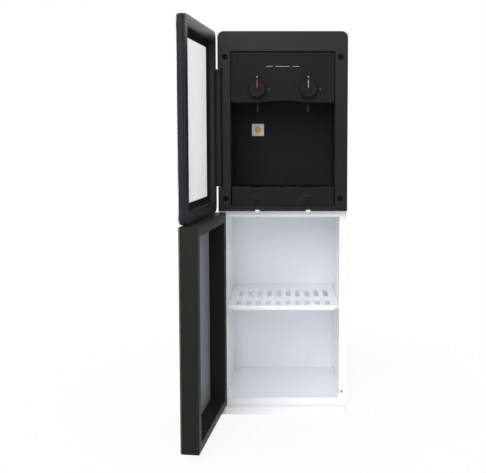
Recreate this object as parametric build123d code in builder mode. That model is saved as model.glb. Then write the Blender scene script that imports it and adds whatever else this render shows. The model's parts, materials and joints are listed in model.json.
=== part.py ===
from build123d import *
import os
from math import cos, radians, sin

# Free-standing water dispenser: a dispensing bay above a storage cabinet, each with its own
# swing door, a bottle seat on top, and a cold tank, a hot tank and their controls behind the bay.
# Millimetres. +Z up, +X to the right of someone who faces the front, the front faces -Y.
# The origin is on the floor, under the centre of the body.

os.makedirs("parts", exist_ok=True)

# Body, from the floor up
body_width = 310.0
body_depth = 340.0
plinth_height = 18.0
sill_height = 17.0
cabinet_height = 451.0
head_height = 16.0
fascia_height = 428.0
sheet = 1.0
flange_width = 17.0
flange_past_screw = 8.0
flange_step_lift = 3.0
rail_tab_lap = 6.0
rail_tab_reach = 12.0
rail_tab_inset = 1.0
divider_thickness = 1.5
divider_fold = 12.0
divider_front_gap = 3.0

# Base
plinth_wall = 3.0
plinth_corner = 8.0
pad_diameter = 32.0
pad_inset = 32.0
pad_thickness = 3.0
pad_clearance = 1.0
liner_post = 24.0
post_corner = 4.0
post_side = 110.0
post_front_inset = 50.0
post_back_inset = 20.0
plinth_slot_length = 150.0
plinth_slot_width = 8.0
plinth_slot_pitch = 60.0
plinth_slot_count = 4

# Fascia
fascia_depth = 22.0
fascia_wall = 3.0
fascia_corner = 15.0
bay_width = 250.0
bay_head = 47.0
bay_sill = 12.0
bay_corner = 3.0
screw_inset = 17.5
screw_edge = 30.5
screw_top_edge = 60.0
cap_diameter = 12.7
cap_clearance = 0.2
cap_depth = 3.0
boss_diameter = 18.0
screw_diameter = 4.0
screw_head = 8.0
screw_length = 22.0
screw_head_height = 2.5
screw_hole_clearance = 0.25
cap_recess = 0.2
cap_pocket = 3.0
bracket_pocket = 18.0
bumper_width = 10.5
bumper_drop = 3.4
bumper_rise = 3.0
bumper_proud = 0.9
bumper_depth = 8.0

# Dispensing bay, its control panel and its drip tray
bay_depth = 150.0
liner_wall = 2.0
panel_height = 119.0
panel_wall = 3.0
panel_gap = 2.0
panel_arch_width = 104.0
panel_arch_rise = 4.4
ceiling_lift = 6.0
cheek_depth = 26.0
panel_return_depth = 12.0
panel_return_wall = 1.0
panel_return_end = 4.0
panel_lap_width = 12.0
panel_lap_wall = 2.0
bay_post_side = 95.0
bay_post_size = 20.0
bay_post_front_inset = 40.0
bay_post_back_inset = 20.0
tap_spacing = 122.0
knob_height = 33.0
knob_diameter = 43.0
knob_depth = 12.0
knob_gap = 1.0
knob_taper = 3.0
knob_edge = 1.2
pointer_length = 19.0
pointer_width = 1.6
pointer_depth = 1.0
pointer_inset = 1.6
stem_diameter = 10.0
stem_gap = 1.0
water_way_diameter = 3.6
running_clearance = 0.05
tap_diameter = 30.0
tap_length = 50.0
tap_end_wall = 8.0
tap_plate_width = 46.0
tap_plate_height = 24.0
tap_plate_corner = 5.0
tap_plate_thickness = 3.0
nozzle_bore_reach = 9.0
nozzle_wall = 1.0
spout_setback = 35.0
spout_diameter = 10.0
spout_bore = 7.0
spout_drop = 21.0
spout_gap = 1.0
spout_boss_wall = 3.0
spout_socket = 6.0
tray_side_gap = 2.7
tray_back_gap = 4.2
tray_setback = 0.8
tray_height = 46.0
tray_wall = 2.0
tray_lift = 1.0
tray_front_wall = 3.0
tray_dip = 2.4
tray_dip_width = 34.0
tray_middle_dip_width = 14.0
tray_body_inset = 1.0
tray_ledge_width = 3.0
tray_ledge_height = 4.0
tray_notch_size = 13.0
tray_notch_inner = 8.7
tray_notch_depth = 1.2
grille_thickness = 3.0
grille_drop = 5.0
grille_slot_length = 50.0
grille_slot_width = 5.0
grille_slot_pitch = 12.0
grille_slot_count = 18
grille_row_pitch = 60.0
slide_clearance = 0.3

# Storage cabinet and its shelf
cabinet_depth = 250.0
shelf_height = 228.0
shelf_thickness = 3.0
shelf_lip = 11.0
shelf_setback = 3.0
shelf_back_gap = 5.0
shelf_slot_width = 12.0
shelf_slot_edge = 26.775
shelf_slot_count = 10
shelf_front_slot = 61.0
shelf_front_land = 7.0
shelf_middle_land = 40.0
shelf_rear_land = 49.0
shelf_rib_pitch = 60.0
shelf_rib_width = 2.0
shelf_rib_lift = 2.0
shelf_rib_back_gap = 10.0
shelf_upstand_wall = 2.0
shelf_upstand_height = 4.0
ledge_width = 10.0
ledge_height = 6.0
ledge_setback = 6.0

# Doors and their hinges
door_end_gap = 1.1
door_gap = 1.2
door_skin = 2.5
skin_inset = 1.0
door_open_angle = 96.2
hinge_inset_x = 4.0
hinge_inset_y = 8.0
upper_door_drop = 2.0
upper_door_top_gap = 1.0
upper_door_frame_depth = 15.5
upper_door_rim = 25.6
upper_door_corner = 15.0
upper_rim_corner = 6.0
window_corner = 3.0
window_edge = 40.0
window_trim_depth = 6.5
trim_flare_inset = 2.0
trim_flare_corner = 5.0
lower_door_bottom_gap = 2.5
lower_door_top_gap = 3.8
lower_door_rim = 23.0
lower_door_bottom_rim = 19.0
lower_door_corner = 3.0
hinge_pin_diameter = 6.0
hinge_pin_length = 13.0
pin_end_gap = 1.0
pin_plate_size = 13.0
pin_plate_corner = 2.0
pin_plate_shift = 3.0
pin_plate_thickness = 1.2
notch_width = 12.0
notch_bottom = 58.0
notch_top = 88.0
notch_back_wall = 2.0
notch_end = 13.0
barrel_radius = 3.5
barrel_gap = 1.0
barrel_pin_diameter = 3.0
barrel_pin_length = 7.0
barrel_leaf_inset = 0.5
barrel_leaf_reach = 3.0
bracket_thickness = 2.5
bracket_tab = 18.0
bracket_inset = 0.5
bracket_reach = 16.0
bracket_setback = 2.0
bracket_tab_inset = 4.0
bracket_tab_wall = 2.0
catch_diameter = 7.0
catch_height = 50.0
catch_proud = 0.9
catch_inset = 10.0
striker_width = 11.0
striker_height = 12.0
striker_inset = 5.0
striker_thickness = 1.0

# Top cover and bottle seat
cover_height = 30.0
cover_wall = 3.0
seat_ahead = 16.0
seat_flange_radius = 112.0
seat_rim_radius = 96.0
seat_neck_radius = 32.0
seat_wall = 2.5
seat_flange_rise = 4.0
seat_cone_depth = 46.0
seat_neck_depth = 21.0
seat_edge_height = 1.5
seat_bevel = 6.0
seat_rim_width = 4.0
seat_rim_drop = 3.0
seat_cone_drop = 1.0
probe_diameter = 18.0
probe_bore = 12.0
probe_height = 46.0
probe_collar = 23.0
probe_collar_height = 3.0
probe_tip_radius = 2.5
probe_cone = 14.0
probe_bore_end = 16.0
probe_bore_tip = 10.0
probe_foot_drop = 12.0
probe_window_lift = 16.0
probe_window_width = 5.0
probe_window_height = 14.0

# Cold side
foam_wall = 15.0
foam_gap = 4.0
cold_tank_width = 180.0
tap_rise_in_tank = 63.5
cold_tank_wall = 1.5
cold_tank_corner = 12.0
tank_lid_thickness = 3.0
bracket_plate = 2.0
bracket_skirt = 24.0
cold_block_size = 44.0
cold_block_proud = 1.0
peltier_size = 40.0
peltier_thickness = 4.0
sink_size = 100.0
sink_base = 6.0
sink_fin_height = 22.0
sink_fin_thickness = 1.6
sink_fin_count = 13
fan_size = 92.0
fan_depth = 25.0
fan_bore = 86.0
fan_hub = 36.0
fan_blades = 7
fan_shaft = 3.0
fan_back_gap = 5.0
fan_corner = 5.0
fan_spider = 4.0
fan_arm_width = 5.0
fan_arm_inset = 2.0
fan_hole_diameter = 4.2
fan_hole_inset = 5.0
rotor_inset = 2.5
rotor_gap = 1.0
blade_chord = 14.0
blade_thickness = 1.6
blade_pitch = 38.0
blade_bury = 2.0
blade_tip_gap = 1.5

# Hot side
hot_tank_x = -60.0
hot_tank_y = 60.0
hot_tank_diameter = 100.0
hot_tank_height = 130.0
hot_tank_wall = 1.5
jacket_wall = 12.0
jacket_floor = 15.0
jacket_gap = 0.6
band_height = 34.0
band_thickness = 2.4
band_slot = 6.0
thermostat_diameter = 16.0
thermostat_height = 7.0
thermostat_offset = 26.0
hot_nozzle_offset = 25.0

# Pipes
pipe_diameter = 8.0
pipe_bore = 5.0
nozzle_length = 10.0
nozzle_bury = 2.0
nozzle_bore_start = 5.0
pipe_gap = 1.0
pipe_bend = 12.0
riser_inset = 24.0
riser_lift = 24.0
over_tap_lift = 30.0
over_tap_reach = 40.0

# Rear panel and what it carries
louvre_width = 38.0
louvre_height = 4.0
louvre_pitch = 9.0
louvre_rows = 12
louvre_gap = 8.0
low_vent_columns = 4
low_vent_rows = 6
face_plate = 2.0
vent_height = 70.0
switch_x = 96.0
switch_spacing = 30.0
switch_height = 612.0
rocker_length = 16.0
rocker_width = 10.4
rocker_tilt = 10.0
rocker_pivot_depth = 1.5
rocker_face = 1.4
rocker_tail = 5.0
rocker_tail_half = 2.2
rocker_end = 1.0
rocker_pivot_radius = 1.0
rocker_pivot_reach = 1.2
rocker_side_gap = 0.3
rocker_end_gap = 0.8
housing_wall = 2.0
housing_end_wall = 2.5
housing_flange = 1.5
housing_corner = 2.0
housing_depth = 18.0
housing_pocket = 12.0
inlet_height = 565.0
inlet_width = 27.5
inlet_tall = 20.5
inlet_flange = 4.0
inlet_corner = 4.0
inlet_fit = 0.3
inlet_depth = 20.0
socket_width = 24.0
socket_tall = 16.4
socket_corner = 3.0
socket_depth = 16.0
blade_width = 2.0
blade_tall = 4.0
blade_length = 14.0
blade_spread = 7.0
blade_stagger = 2.0
drain_height = 15.0
drain_diameter = 12.0
outlet_depth = 12.0
outlet_proud = 10.0
outlet_flange = 4.0
outlet_flange_thickness = 3.0
drain_cap_wall = 4.0
drain_cap_sides = 12
drain_cap_gap = 0.5
drain_cap_length = 13.0
drain_cap_bore = 9.6

# Power board
board_centre = (84.0, 62.0)
board_width = 104.0
board_depth = 88.0
board_thickness = 1.6
standoff_diameter = 7.0
standoff_height = 12.0
standoff_inset = 5.0
transformer_width = 44.0
transformer_depth = 38.0
transformer_height = 34.0
transformer_corner = 2.0
transformer_place = (-18.0, 12.0)
capacitor_diameter = 18.0
capacitor_height = 28.0
capacitor_pitch = 24.0
capacitor_x = 26.0

# Levels and planes that the pieces share
front = -body_depth / 2
back = body_depth / 2
side = body_width / 2
cabinet_side = side - flange_width
screw_x = side - screw_inset
sill_top = plinth_height + sill_height
cabinet_top = sill_top + cabinet_height
fascia_bottom = cabinet_top + head_height
fascia_top = fascia_bottom + fascia_height
cover_bottom = fascia_top - cover_height
flange_front = front + fascia_depth
bay_bottom = fascia_bottom + bay_sill
bay_top = fascia_top - bay_head
bay_side = bay_width / 2
bay_back = front + bay_depth
panel_front = front + fascia_wall
panel_top = bay_top - panel_gap
panel_bottom = panel_top - panel_height
ceiling = panel_bottom + ceiling_lift
knob_z = panel_bottom + knob_height
tap_back = panel_front + panel_wall + tap_length
spout_y = front + spout_setback
spout_tip = panel_bottom - spout_drop
divider_top = fascia_bottom + divider_thickness
hinge_x = -side + hinge_inset_x
hinge_y = front + hinge_inset_y
door_left = -side
door_right = side - door_end_gap
upper_inner_face = front - door_gap
door_back_of_skin = upper_inner_face - upper_door_frame_depth
upper_door_bottom = fascia_bottom - upper_door_drop
upper_door_top = fascia_top - upper_door_top_gap
lower_inner_face = flange_front - door_gap
lower_door_bottom = plinth_height + lower_door_bottom_gap
lower_door_top = fascia_bottom - lower_door_top_gap
shelf_top = sill_top + shelf_height + shelf_thickness
cabinet_back = flange_front + cabinet_depth
foam_front = bay_back + liner_wall + foam_gap
tank_front = foam_front + foam_wall
fan_front = back - sheet - fan_back_gap - fan_depth
sink_front = fan_front - sink_fin_height - sink_base
peltier_front = sink_front - peltier_thickness
foam_back = peltier_front - cold_block_proud
tank_back = foam_back - foam_wall
cold_tank_depth = tank_back - tank_front
tank_mid_y = (tank_front + tank_back) / 2
seat_y = tank_mid_y - seat_ahead
outlet_front = back - sheet - outlet_depth
seat_top = fascia_top + seat_flange_rise
seat_floor = seat_top - seat_cone_depth - seat_neck_depth
tank_top = seat_floor - seat_wall - tank_lid_thickness
tank_bottom = knob_z - tap_rise_in_tank
cold_tank_height = tank_top - tank_bottom
foam_bottom = tank_bottom - foam_wall
peltier_z = tank_bottom + cold_tank_height / 2
jacket_radius = hot_tank_diameter / 2 + band_thickness + jacket_gap
hot_tank_bottom = divider_top + jacket_floor
hot_tank_top = hot_tank_bottom + hot_tank_height
transfer_x = hot_tank_x + hot_nozzle_offset
hot_outlet_x = hot_tank_x - hot_nozzle_offset


def level(z):
    """Horizontal plane at height z."""
    return Plane.XY.offset(z)


def facing(y):
    """Upright plane at y that faces the front: its own axes are X and Z, and outwards is -Y."""
    return Plane(origin=(0, y, 0), x_dir=(1, 0, 0), z_dir=(0, -1, 0))


def across(x):
    """Upright plane at x that faces the right: its own axes are Y and Z, and outwards is +X."""
    return Plane(origin=(x, 0, 0), x_dir=(0, 1, 0), z_dir=(1, 0, 0))


# A door is drawn where it would be closed, on planes that are turned with it about the hinge line.
hinge_line = Location((hinge_x, hinge_y, 0))
door_swing = hinge_line * Rotation(0, 0, -door_open_angle) * hinge_line.inverse()


def on_door(y):
    """The plane facing(y) of the closed door, turned to the open door."""
    return Plane(door_swing * facing(y).location)


def on_door_level(z):
    """The plane level(z) of the closed door, turned to the open door."""
    return Plane(door_swing * level(z).location)


def block(x, y, z, mode=Mode.ADD):
    """A box between two limits along each axis."""
    with Locations(((x[0] + x[1]) / 2, (y[0] + y[1]) / 2, (z[0] + z[1]) / 2)):
        Box(x[1] - x[0], y[1] - y[0], z[1] - z[0], mode=mode)


def rectangle(x, z):
    """A rectangle between two limits along each axis of the sketch."""
    with Locations(((x[0] + x[1]) / 2, (z[0] + z[1]) / 2)):
        Rectangle(x[1] - x[0], z[1] - z[0])


def save(piece, label):
    """Name a finished piece and write it out."""
    piece.part.label = label
    export_step(piece.part, f"parts/{label}.step")


# Base: a moulded plinth whose rim and four rubber pads stand on the floor
pad_places = [(sx * (side - pad_inset), sy * (back - pad_inset)) for sx in (-1, 1) for sy in (-1, 1)]
post_rows = (front + post_front_inset, cabinet_back - post_back_inset)
post_places = [(sx * post_side, y) for sx in (-1, 1) for y in post_rows]
plinth_inner = (body_width - 2 * plinth_wall, body_depth - 2 * plinth_wall)

with BuildPart() as plinth:
    with BuildSketch(Plane.XY):
        RectangleRounded(body_width, body_depth, plinth_corner)
    extrude(amount=plinth_height)
    with BuildSketch(Plane.XY):
        RectangleRounded(*plinth_inner, plinth_corner - plinth_wall)
    extrude(amount=plinth_height - plinth_wall, mode=Mode.SUBTRACT)
    with BuildSketch(level(pad_thickness)):
        with Locations(pad_places):
            Circle(pad_diameter / 2)
    extrude(amount=plinth_height - plinth_wall - pad_thickness)
    with BuildSketch(level(plinth_height)):
        with Locations(post_places):
            RectangleRounded(liner_post, liner_post, post_corner)
    extrude(amount=sill_height - liner_wall)
    with BuildSketch(level(plinth_height)):
        with GridLocations(1, plinth_slot_pitch, 1, plinth_slot_count):
            SlotOverall(plinth_slot_length, plinth_slot_width)
    extrude(amount=-plinth_wall, mode=Mode.SUBTRACT)
save(plinth, "plinth")

with BuildPart() as pads:
    with BuildSketch(Plane.XY):
        with Locations(pad_places):
            Circle(pad_diameter / 2 - pad_clearance)
    extrude(amount=pad_thickness)
save(pads, "rubber_pads")


# Side panels: folded sheet, with a front flange that is wider behind the fascia
screw_levels = (fascia_bottom + screw_edge, fascia_top - screw_top_edge)


def side_panel(s):
    """The side panel on the left (s = -1) or the right (s = 1)."""
    wide = screw_inset + flange_past_screw
    with BuildPart() as panel:
        block(sorted((s * (side - sheet), s * side)), (flange_front, back), (plinth_height, cover_bottom))
        block(
            sorted((s * (side - flange_width), s * side)),
            (flange_front, flange_front + sheet),
            (plinth_height, cover_bottom),
        )
        block(
            sorted((s * (side - wide), s * side)),
            (flange_front, flange_front + sheet),
            (divider_top + flange_step_lift, cover_bottom),
        )
        block(
            sorted((s * (side - flange_width), s * side)),
            (back - 2 * sheet, back - sheet),
            (plinth_height, cover_bottom),
        )
        with Locations(facing(flange_front)):
            with Locations([(s * screw_x, z) for z in screw_levels]):
                Hole(screw_diameter / 2 + running_clearance)
    return panel


save(side_panel(-1), "left_side_panel")
save(side_panel(1), "right_side_panel")

# Rails across the front of the cabinet, flush with the side flanges and lapped behind them
rail_levels = ((plinth_height, sill_top), (cabinet_top, fascia_bottom))
tab_levels = (
    (plinth_height + rail_tab_inset, sill_top - liner_wall - rail_tab_inset),
    (cabinet_top + liner_wall + rail_tab_inset, fascia_bottom - rail_tab_inset),
)
with BuildPart() as rails:
    for rail_level, tab_level in zip(rail_levels, tab_levels):
        block((-cabinet_side, cabinet_side), (flange_front, flange_front + sheet), rail_level)
        for s in (-1, 1):
            block(
                sorted((s * (cabinet_side - rail_tab_lap), s * (cabinet_side + rail_tab_reach))),
                (flange_front + sheet, flange_front + 2 * sheet),
                tab_level,
            )
save(rails, "cabinet_rails")

# Plate between the cabinet and the works, folded down onto the side panels
divider_y = (flange_front + divider_front_gap, back - 2 * sheet)
with BuildPart() as divider:
    block((-side + sheet, side - sheet), divider_y, (fascia_bottom, divider_top))
    for s in (-1, 1):
        block(
            sorted((s * (side - sheet - divider_thickness), s * (side - sheet))),
            divider_y,
            (fascia_bottom - divider_fold, fascia_bottom),
        )
save(divider, "divider_plate")

# Cabinet liner: one moulded box, open at the front, with two ledges for the shelf
liner_front = flange_front + sheet
with BuildPart() as cabinet_liner:
    block(
        (-cabinet_side - liner_wall, cabinet_side + liner_wall),
        (liner_front, cabinet_back + liner_wall),
        (sill_top - liner_wall, cabinet_top + liner_wall),
    )
    with BuildSketch(facing(liner_front)):
        with Locations((0, (sill_top + cabinet_top) / 2)):
            Rectangle(2 * cabinet_side, cabinet_height)
    extrude(amount=-(cabinet_back - liner_front), mode=Mode.SUBTRACT)
    for s in (-1, 1):
        block(
            sorted((s * (cabinet_side - ledge_width), s * cabinet_side)),
            (flange_front + shelf_setback + ledge_setback, cabinet_back),
            (shelf_top - shelf_thickness - ledge_height, shelf_top - shelf_thickness),
        )
save(cabinet_liner, "cabinet_liner")

# Shelf: a moulded plate with two rows of slots, a deep front lip and a low rear upstand
shelf_front = flange_front + shelf_setback
shelf_rear = cabinet_back - shelf_back_gap
shelf_side = cabinet_side - slide_clearance
shelf_slot_pitch = 2 * (shelf_side - shelf_slot_edge) / (shelf_slot_count - 1)
front_row_y = shelf_front + shelf_front_land + shelf_front_slot / 2
rear_row_front = shelf_front + shelf_front_land + shelf_front_slot + shelf_middle_land
shelf_rear_slot = shelf_rear - shelf_rear_land - rear_row_front
rear_row_y = rear_row_front + shelf_rear_slot / 2
with BuildPart() as shelf:
    block((-shelf_side, shelf_side), (shelf_front, shelf_rear), (shelf_top - shelf_thickness, shelf_top))
    block(
        (-shelf_side + ledge_width, shelf_side - ledge_width),
        (shelf_front, shelf_front + shelf_thickness),
        (shelf_top - shelf_lip, shelf_top),
    )
    for x in (-shelf_rib_pitch, 0, shelf_rib_pitch):
        block(
            (x - shelf_rib_width / 2, x + shelf_rib_width / 2),
            (shelf_front, shelf_rear - shelf_rib_back_gap),
            (shelf_top - shelf_lip + shelf_rib_lift, shelf_top),
        )
    block(
        (-shelf_side, shelf_side),
        (shelf_rear - shelf_upstand_wall, shelf_rear),
        (shelf_top, shelf_top + shelf_upstand_height),
    )
    with BuildSketch(level(shelf_top)):
        for row_y, slot in ((front_row_y, shelf_front_slot), (rear_row_y, shelf_rear_slot)):
            with Locations((0, row_y)):
                with GridLocations(shelf_slot_pitch, 1, shelf_slot_count, 1):
                    SlotOverall(slot, shelf_slot_width, rotation=90)
    extrude(amount=-shelf_lip, mode=Mode.SUBTRACT)
save(shelf, "cabinet_shelf")

# Fascia: a moulded frame round the bay, with screw bosses and a notch for the upper hinge
notch_z = (fascia_bottom + notch_bottom, fascia_top - notch_top)
with BuildPart() as fascia:
    with BuildSketch(facing(front)) as fascia_outline:
        with BuildLine():
            Polyline(
                (-side, fascia_top),
                (-side, fascia_bottom),
                (side, fascia_bottom),
                (side, fascia_top),
                close=True,
            )
        make_face()
        top_corners = fascia_outline.vertices().group_by(Axis.Y)[-1]
        fillet(top_corners, fascia_corner)
    extrude(amount=-fascia_depth)
    with BuildSketch(facing(front + fascia_wall)) as fascia_hollow:
        with BuildLine():
            Polyline(
                (-side + fascia_wall, fascia_top - fascia_wall),
                (-side + fascia_wall, fascia_bottom + fascia_wall),
                (side - fascia_wall, fascia_bottom + fascia_wall),
                (side - fascia_wall, fascia_top - fascia_wall),
                close=True,
            )
        make_face()
        hollow_corners = fascia_hollow.vertices().group_by(Axis.Y)[-1]
        fillet(hollow_corners, fascia_corner - fascia_wall)
    extrude(amount=-fascia_depth, mode=Mode.SUBTRACT)
    with BuildSketch(facing(front + fascia_wall)):
        with Locations([(s * screw_x, z) for s in (-1, 1) for z in screw_levels]):
            Circle(boss_diameter / 2)
    extrude(amount=-(fascia_depth - fascia_wall))
    block(
        (-side, -side + notch_width + notch_back_wall),
        (front, flange_front),
        (notch_z[0] - notch_end, notch_z[1] + notch_end),
    )
    block(
        (-side, -side + notch_width),
        (front, flange_front - notch_back_wall),
        notch_z,
        mode=Mode.SUBTRACT,
    )
    with Locations(Location((hinge_x, hinge_y, notch_z[0] - barrel_pin_length))):
        Cylinder(
            barrel_pin_diameter / 2 + running_clearance,
            notch_z[1] - notch_z[0] + 2 * barrel_pin_length,
            align=(Align.CENTER, Align.CENTER, Align.MIN),
            mode=Mode.SUBTRACT,
        )
    with BuildSketch(facing(front)):
        with Locations((0, (bay_bottom + bay_top) / 2)):
            RectangleRounded(bay_width, bay_top - bay_bottom, bay_corner)
    extrude(amount=-fascia_depth, mode=Mode.SUBTRACT)
    with Locations(facing(front)):
        with Locations([(s * screw_x, z) for s in (-1, 1) for z in screw_levels]):
            CounterBoreHole(
                radius=screw_diameter / 2 + screw_hole_clearance,
                counter_bore_radius=cap_diameter / 2 + cap_clearance,
                counter_bore_depth=cap_depth + cap_pocket,
            )
    block(
        (-side + fascia_wall, -side + bracket_pocket),
        (flange_front - bracket_thickness, flange_front),
        (fascia_bottom, fascia_bottom + fascia_wall),
        mode=Mode.SUBTRACT,
    )
save(fascia, "fascia")

with BuildPart() as screw_caps:
    with BuildSketch(facing(front + cap_recess)):
        with Locations([(s * screw_x, z) for s in (-1, 1) for z in screw_levels]):
            Circle(cap_diameter / 2)
    extrude(amount=-cap_depth)
save(screw_caps, "screw_caps")

head_y = front + cap_depth + cap_pocket
with BuildPart() as fascia_screws:
    with BuildSketch(facing(head_y)):
        with Locations([(s * screw_x, z) for s in (-1, 1) for z in screw_levels]):
            Circle(screw_head / 2)
    extrude(amount=screw_head_height)
    with BuildSketch(facing(head_y)):
        with Locations([(s * screw_x, z) for s in (-1, 1) for z in screw_levels]):
            Circle(screw_diameter / 2)
    extrude(amount=-screw_length)
save(fascia_screws, "fascia_screws")

# Two soft bumpers on the fascia's lower edge, which the closed upper door meets
with BuildPart() as bumpers:
    for x in (-tap_spacing / 2, tap_spacing / 2):
        block(
            (x - bumper_width / 2, x + bumper_width / 2),
            (front - bumper_proud, front + bumper_depth),
            (fascia_bottom - bumper_drop, fascia_bottom),
        )
        block(
            (x - bumper_width / 2, x + bumper_width / 2),
            (front - bumper_proud, front),
            (fascia_bottom, fascia_bottom + bumper_rise),
        )
save(bumpers, "door_bumpers")

# Bay liner: the bay's walls, floor and ceiling, and cheeks beside the control panel
with BuildPart() as bay_liner:
    block(
        (-bay_side - liner_wall, bay_side + liner_wall),
        (panel_front, bay_back + liner_wall),
        (bay_bottom - liner_wall, bay_top + liner_wall),
    )
    block((-bay_side, bay_side), (panel_front, bay_back), (bay_bottom, ceiling), mode=Mode.SUBTRACT)
    block(
        (-bay_side, bay_side),
        (panel_front, bay_back + liner_wall),
        (ceiling + liner_wall, bay_top + liner_wall),
        mode=Mode.SUBTRACT,
    )
    block(
        (-bay_side - liner_wall, bay_side + liner_wall),
        (panel_front + cheek_depth, bay_back + liner_wall),
        (ceiling + liner_wall, bay_top + liner_wall),
        mode=Mode.SUBTRACT,
    )
    block(
        (-bay_side, bay_side),
        (panel_front, panel_front + panel_wall + slide_clearance),
        (ceiling, ceiling + liner_wall),
        mode=Mode.SUBTRACT,
    )
    with BuildSketch(level(ceiling)):
        with Locations([(s * tap_spacing / 2, spout_y) for s in (-1, 1)]):
            Circle(spout_diameter / 2 + spout_gap)
    extrude(amount=liner_wall, mode=Mode.SUBTRACT)
    for s in (-1, 1):
        for y in (front + bay_post_front_inset, bay_back - bay_post_back_inset):
            block(
                (s * bay_post_side - bay_post_size / 2, s * bay_post_side + bay_post_size / 2),
                (y - bay_post_size / 2, y + bay_post_size / 2),
                (divider_top, bay_bottom - liner_wall),
            )
save(bay_liner, "bay_liner")

# Control panel: a plate with an arched lower edge and two returns that lie against the cheeks
panel_side = bay_side - panel_gap
panel_back = panel_front + panel_wall
panel_return_z = (ceiling + liner_wall + panel_return_end, panel_top - panel_return_end)
with BuildPart() as control_panel:
    with BuildSketch(facing(panel_front)):
        with BuildLine():
            Line((-panel_side, panel_bottom), (-panel_side, panel_top))
            Line((-panel_side, panel_top), (panel_side, panel_top))
            Line((panel_side, panel_top), (panel_side, panel_bottom))
            Line((panel_side, panel_bottom), (panel_arch_width / 2, panel_bottom))
            ThreePointArc(
                (panel_arch_width / 2, panel_bottom),
                (0, panel_bottom + panel_arch_rise),
                (-panel_arch_width / 2, panel_bottom),
            )
            Line((-panel_arch_width / 2, panel_bottom), (-panel_side, panel_bottom))
        make_face()
    extrude(amount=-panel_wall)
    for s in (-1, 1):
        block(
            sorted((s * (panel_side - panel_return_wall), s * bay_side)),
            (panel_back, panel_back + panel_return_depth),
            panel_return_z,
        )
        block(
            sorted((s * (panel_side - panel_lap_width), s * (panel_side - panel_return_wall))),
            (panel_back, panel_back + panel_lap_wall),
            panel_return_z,
        )
    with Locations(facing(panel_front)):
        with Locations([(s * tap_spacing / 2, knob_z) for s in (-1, 1)]):
            Hole(stem_diameter / 2 + stem_gap)
save(control_panel, "control_panel")


# Taps: a valve body behind the panel, a spout through the ceiling, and a knob on its stem
tap_places = (-tap_spacing / 2, tap_spacing / 2)
with BuildPart() as tap_bodies:
    for x in tap_places:
        with BuildSketch(facing(panel_back)):
            with Locations((x, knob_z)):
                Circle(tap_diameter / 2)
        extrude(amount=-tap_length)
        with BuildSketch(facing(panel_back)):
            with Locations((x, knob_z)):
                RectangleRounded(tap_plate_width, tap_plate_height, tap_plate_corner)
        extrude(amount=-tap_plate_thickness)
        with BuildSketch(level(ceiling + liner_wall)):
            with Locations((x, spout_y)):
                Circle(spout_diameter / 2 + spout_boss_wall)
        extrude(amount=knob_z - ceiling - liner_wall)
        with BuildSketch(facing(tap_back)):
            with Locations((x, knob_z)):
                Circle(pipe_bore / 2)
        extrude(amount=-nozzle_length)
        with BuildSketch(facing(panel_back)):
            with Locations((x, knob_z)):
                Circle(stem_diameter / 2 + running_clearance)
        extrude(amount=-(tap_length - tap_end_wall), mode=Mode.SUBTRACT)
        with BuildSketch(facing(tap_back - nozzle_bore_reach)):
            with Locations((x, knob_z)):
                Circle(pipe_bore / 2 - nozzle_wall)
        extrude(amount=-(nozzle_length + nozzle_bore_reach), mode=Mode.SUBTRACT)
        with BuildSketch(level(ceiling + liner_wall)):
            with Locations((x, spout_y)):
                Circle(spout_bore / 2)
        extrude(amount=knob_z - ceiling - liner_wall, mode=Mode.SUBTRACT)
        with BuildSketch(level(ceiling + liner_wall)):
            with Locations((x, spout_y)):
                Circle(spout_diameter / 2 + running_clearance)
        extrude(amount=spout_socket, mode=Mode.SUBTRACT)
save(tap_bodies, "tap_bodies")

with BuildPart() as spouts:
    for x in tap_places:
        with BuildSketch(level(spout_tip)):
            with Locations((x, spout_y)):
                Circle(spout_diameter / 2)
                Circle(spout_bore / 2, mode=Mode.SUBTRACT)
        extrude(amount=ceiling + liner_wall + spout_socket - spout_tip)
save(spouts, "spouts")


face_y = panel_front - knob_gap - knob_depth
pointer_z = knob_z + knob_diameter / 2 - pointer_inset - pointer_length / 2


def tap_knob(x):
    """Round knob with a stem, a groove for its pointer and a bored water way in the stem."""
    with BuildPart() as knob:
        with BuildSketch(facing(panel_front - knob_gap)):
            with Locations((x, knob_z)):
                Circle(knob_diameter / 2)
        extrude(amount=knob_depth, taper=knob_taper)
        face_edge = knob.faces().sort_by(Axis.Y)[0].edges()
        fillet(face_edge, knob_edge)
        with BuildSketch(facing(face_y)):
            with Locations((x, pointer_z)):
                Rectangle(pointer_width, pointer_length)
        extrude(amount=-pointer_depth, mode=Mode.SUBTRACT)
        with BuildSketch(facing(panel_front - knob_gap)):
            with Locations((x, knob_z)):
                Circle(stem_diameter / 2)
        extrude(amount=-(knob_gap + panel_wall + tap_length - tap_end_wall - stem_gap))
        with BuildSketch(level(knob_z)):
            with Locations((x, spout_y)):
                Circle(water_way_diameter / 2)
        extrude(amount=stem_diameter, both=True, mode=Mode.SUBTRACT)
    return knob


def knob_pointer(x):
    """Coloured insert, flush in the knob's groove."""
    with BuildPart() as pointer:
        with BuildSketch(facing(face_y)):
            with Locations((x, pointer_z)):
                Rectangle(pointer_width, pointer_length)
        extrude(amount=-pointer_depth)
    return pointer


for name, x in zip(("hot", "cold"), tap_places):
    save(tap_knob(x), f"{name}_knob")
    save(knob_pointer(x), f"{name}_knob_pointer")

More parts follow.
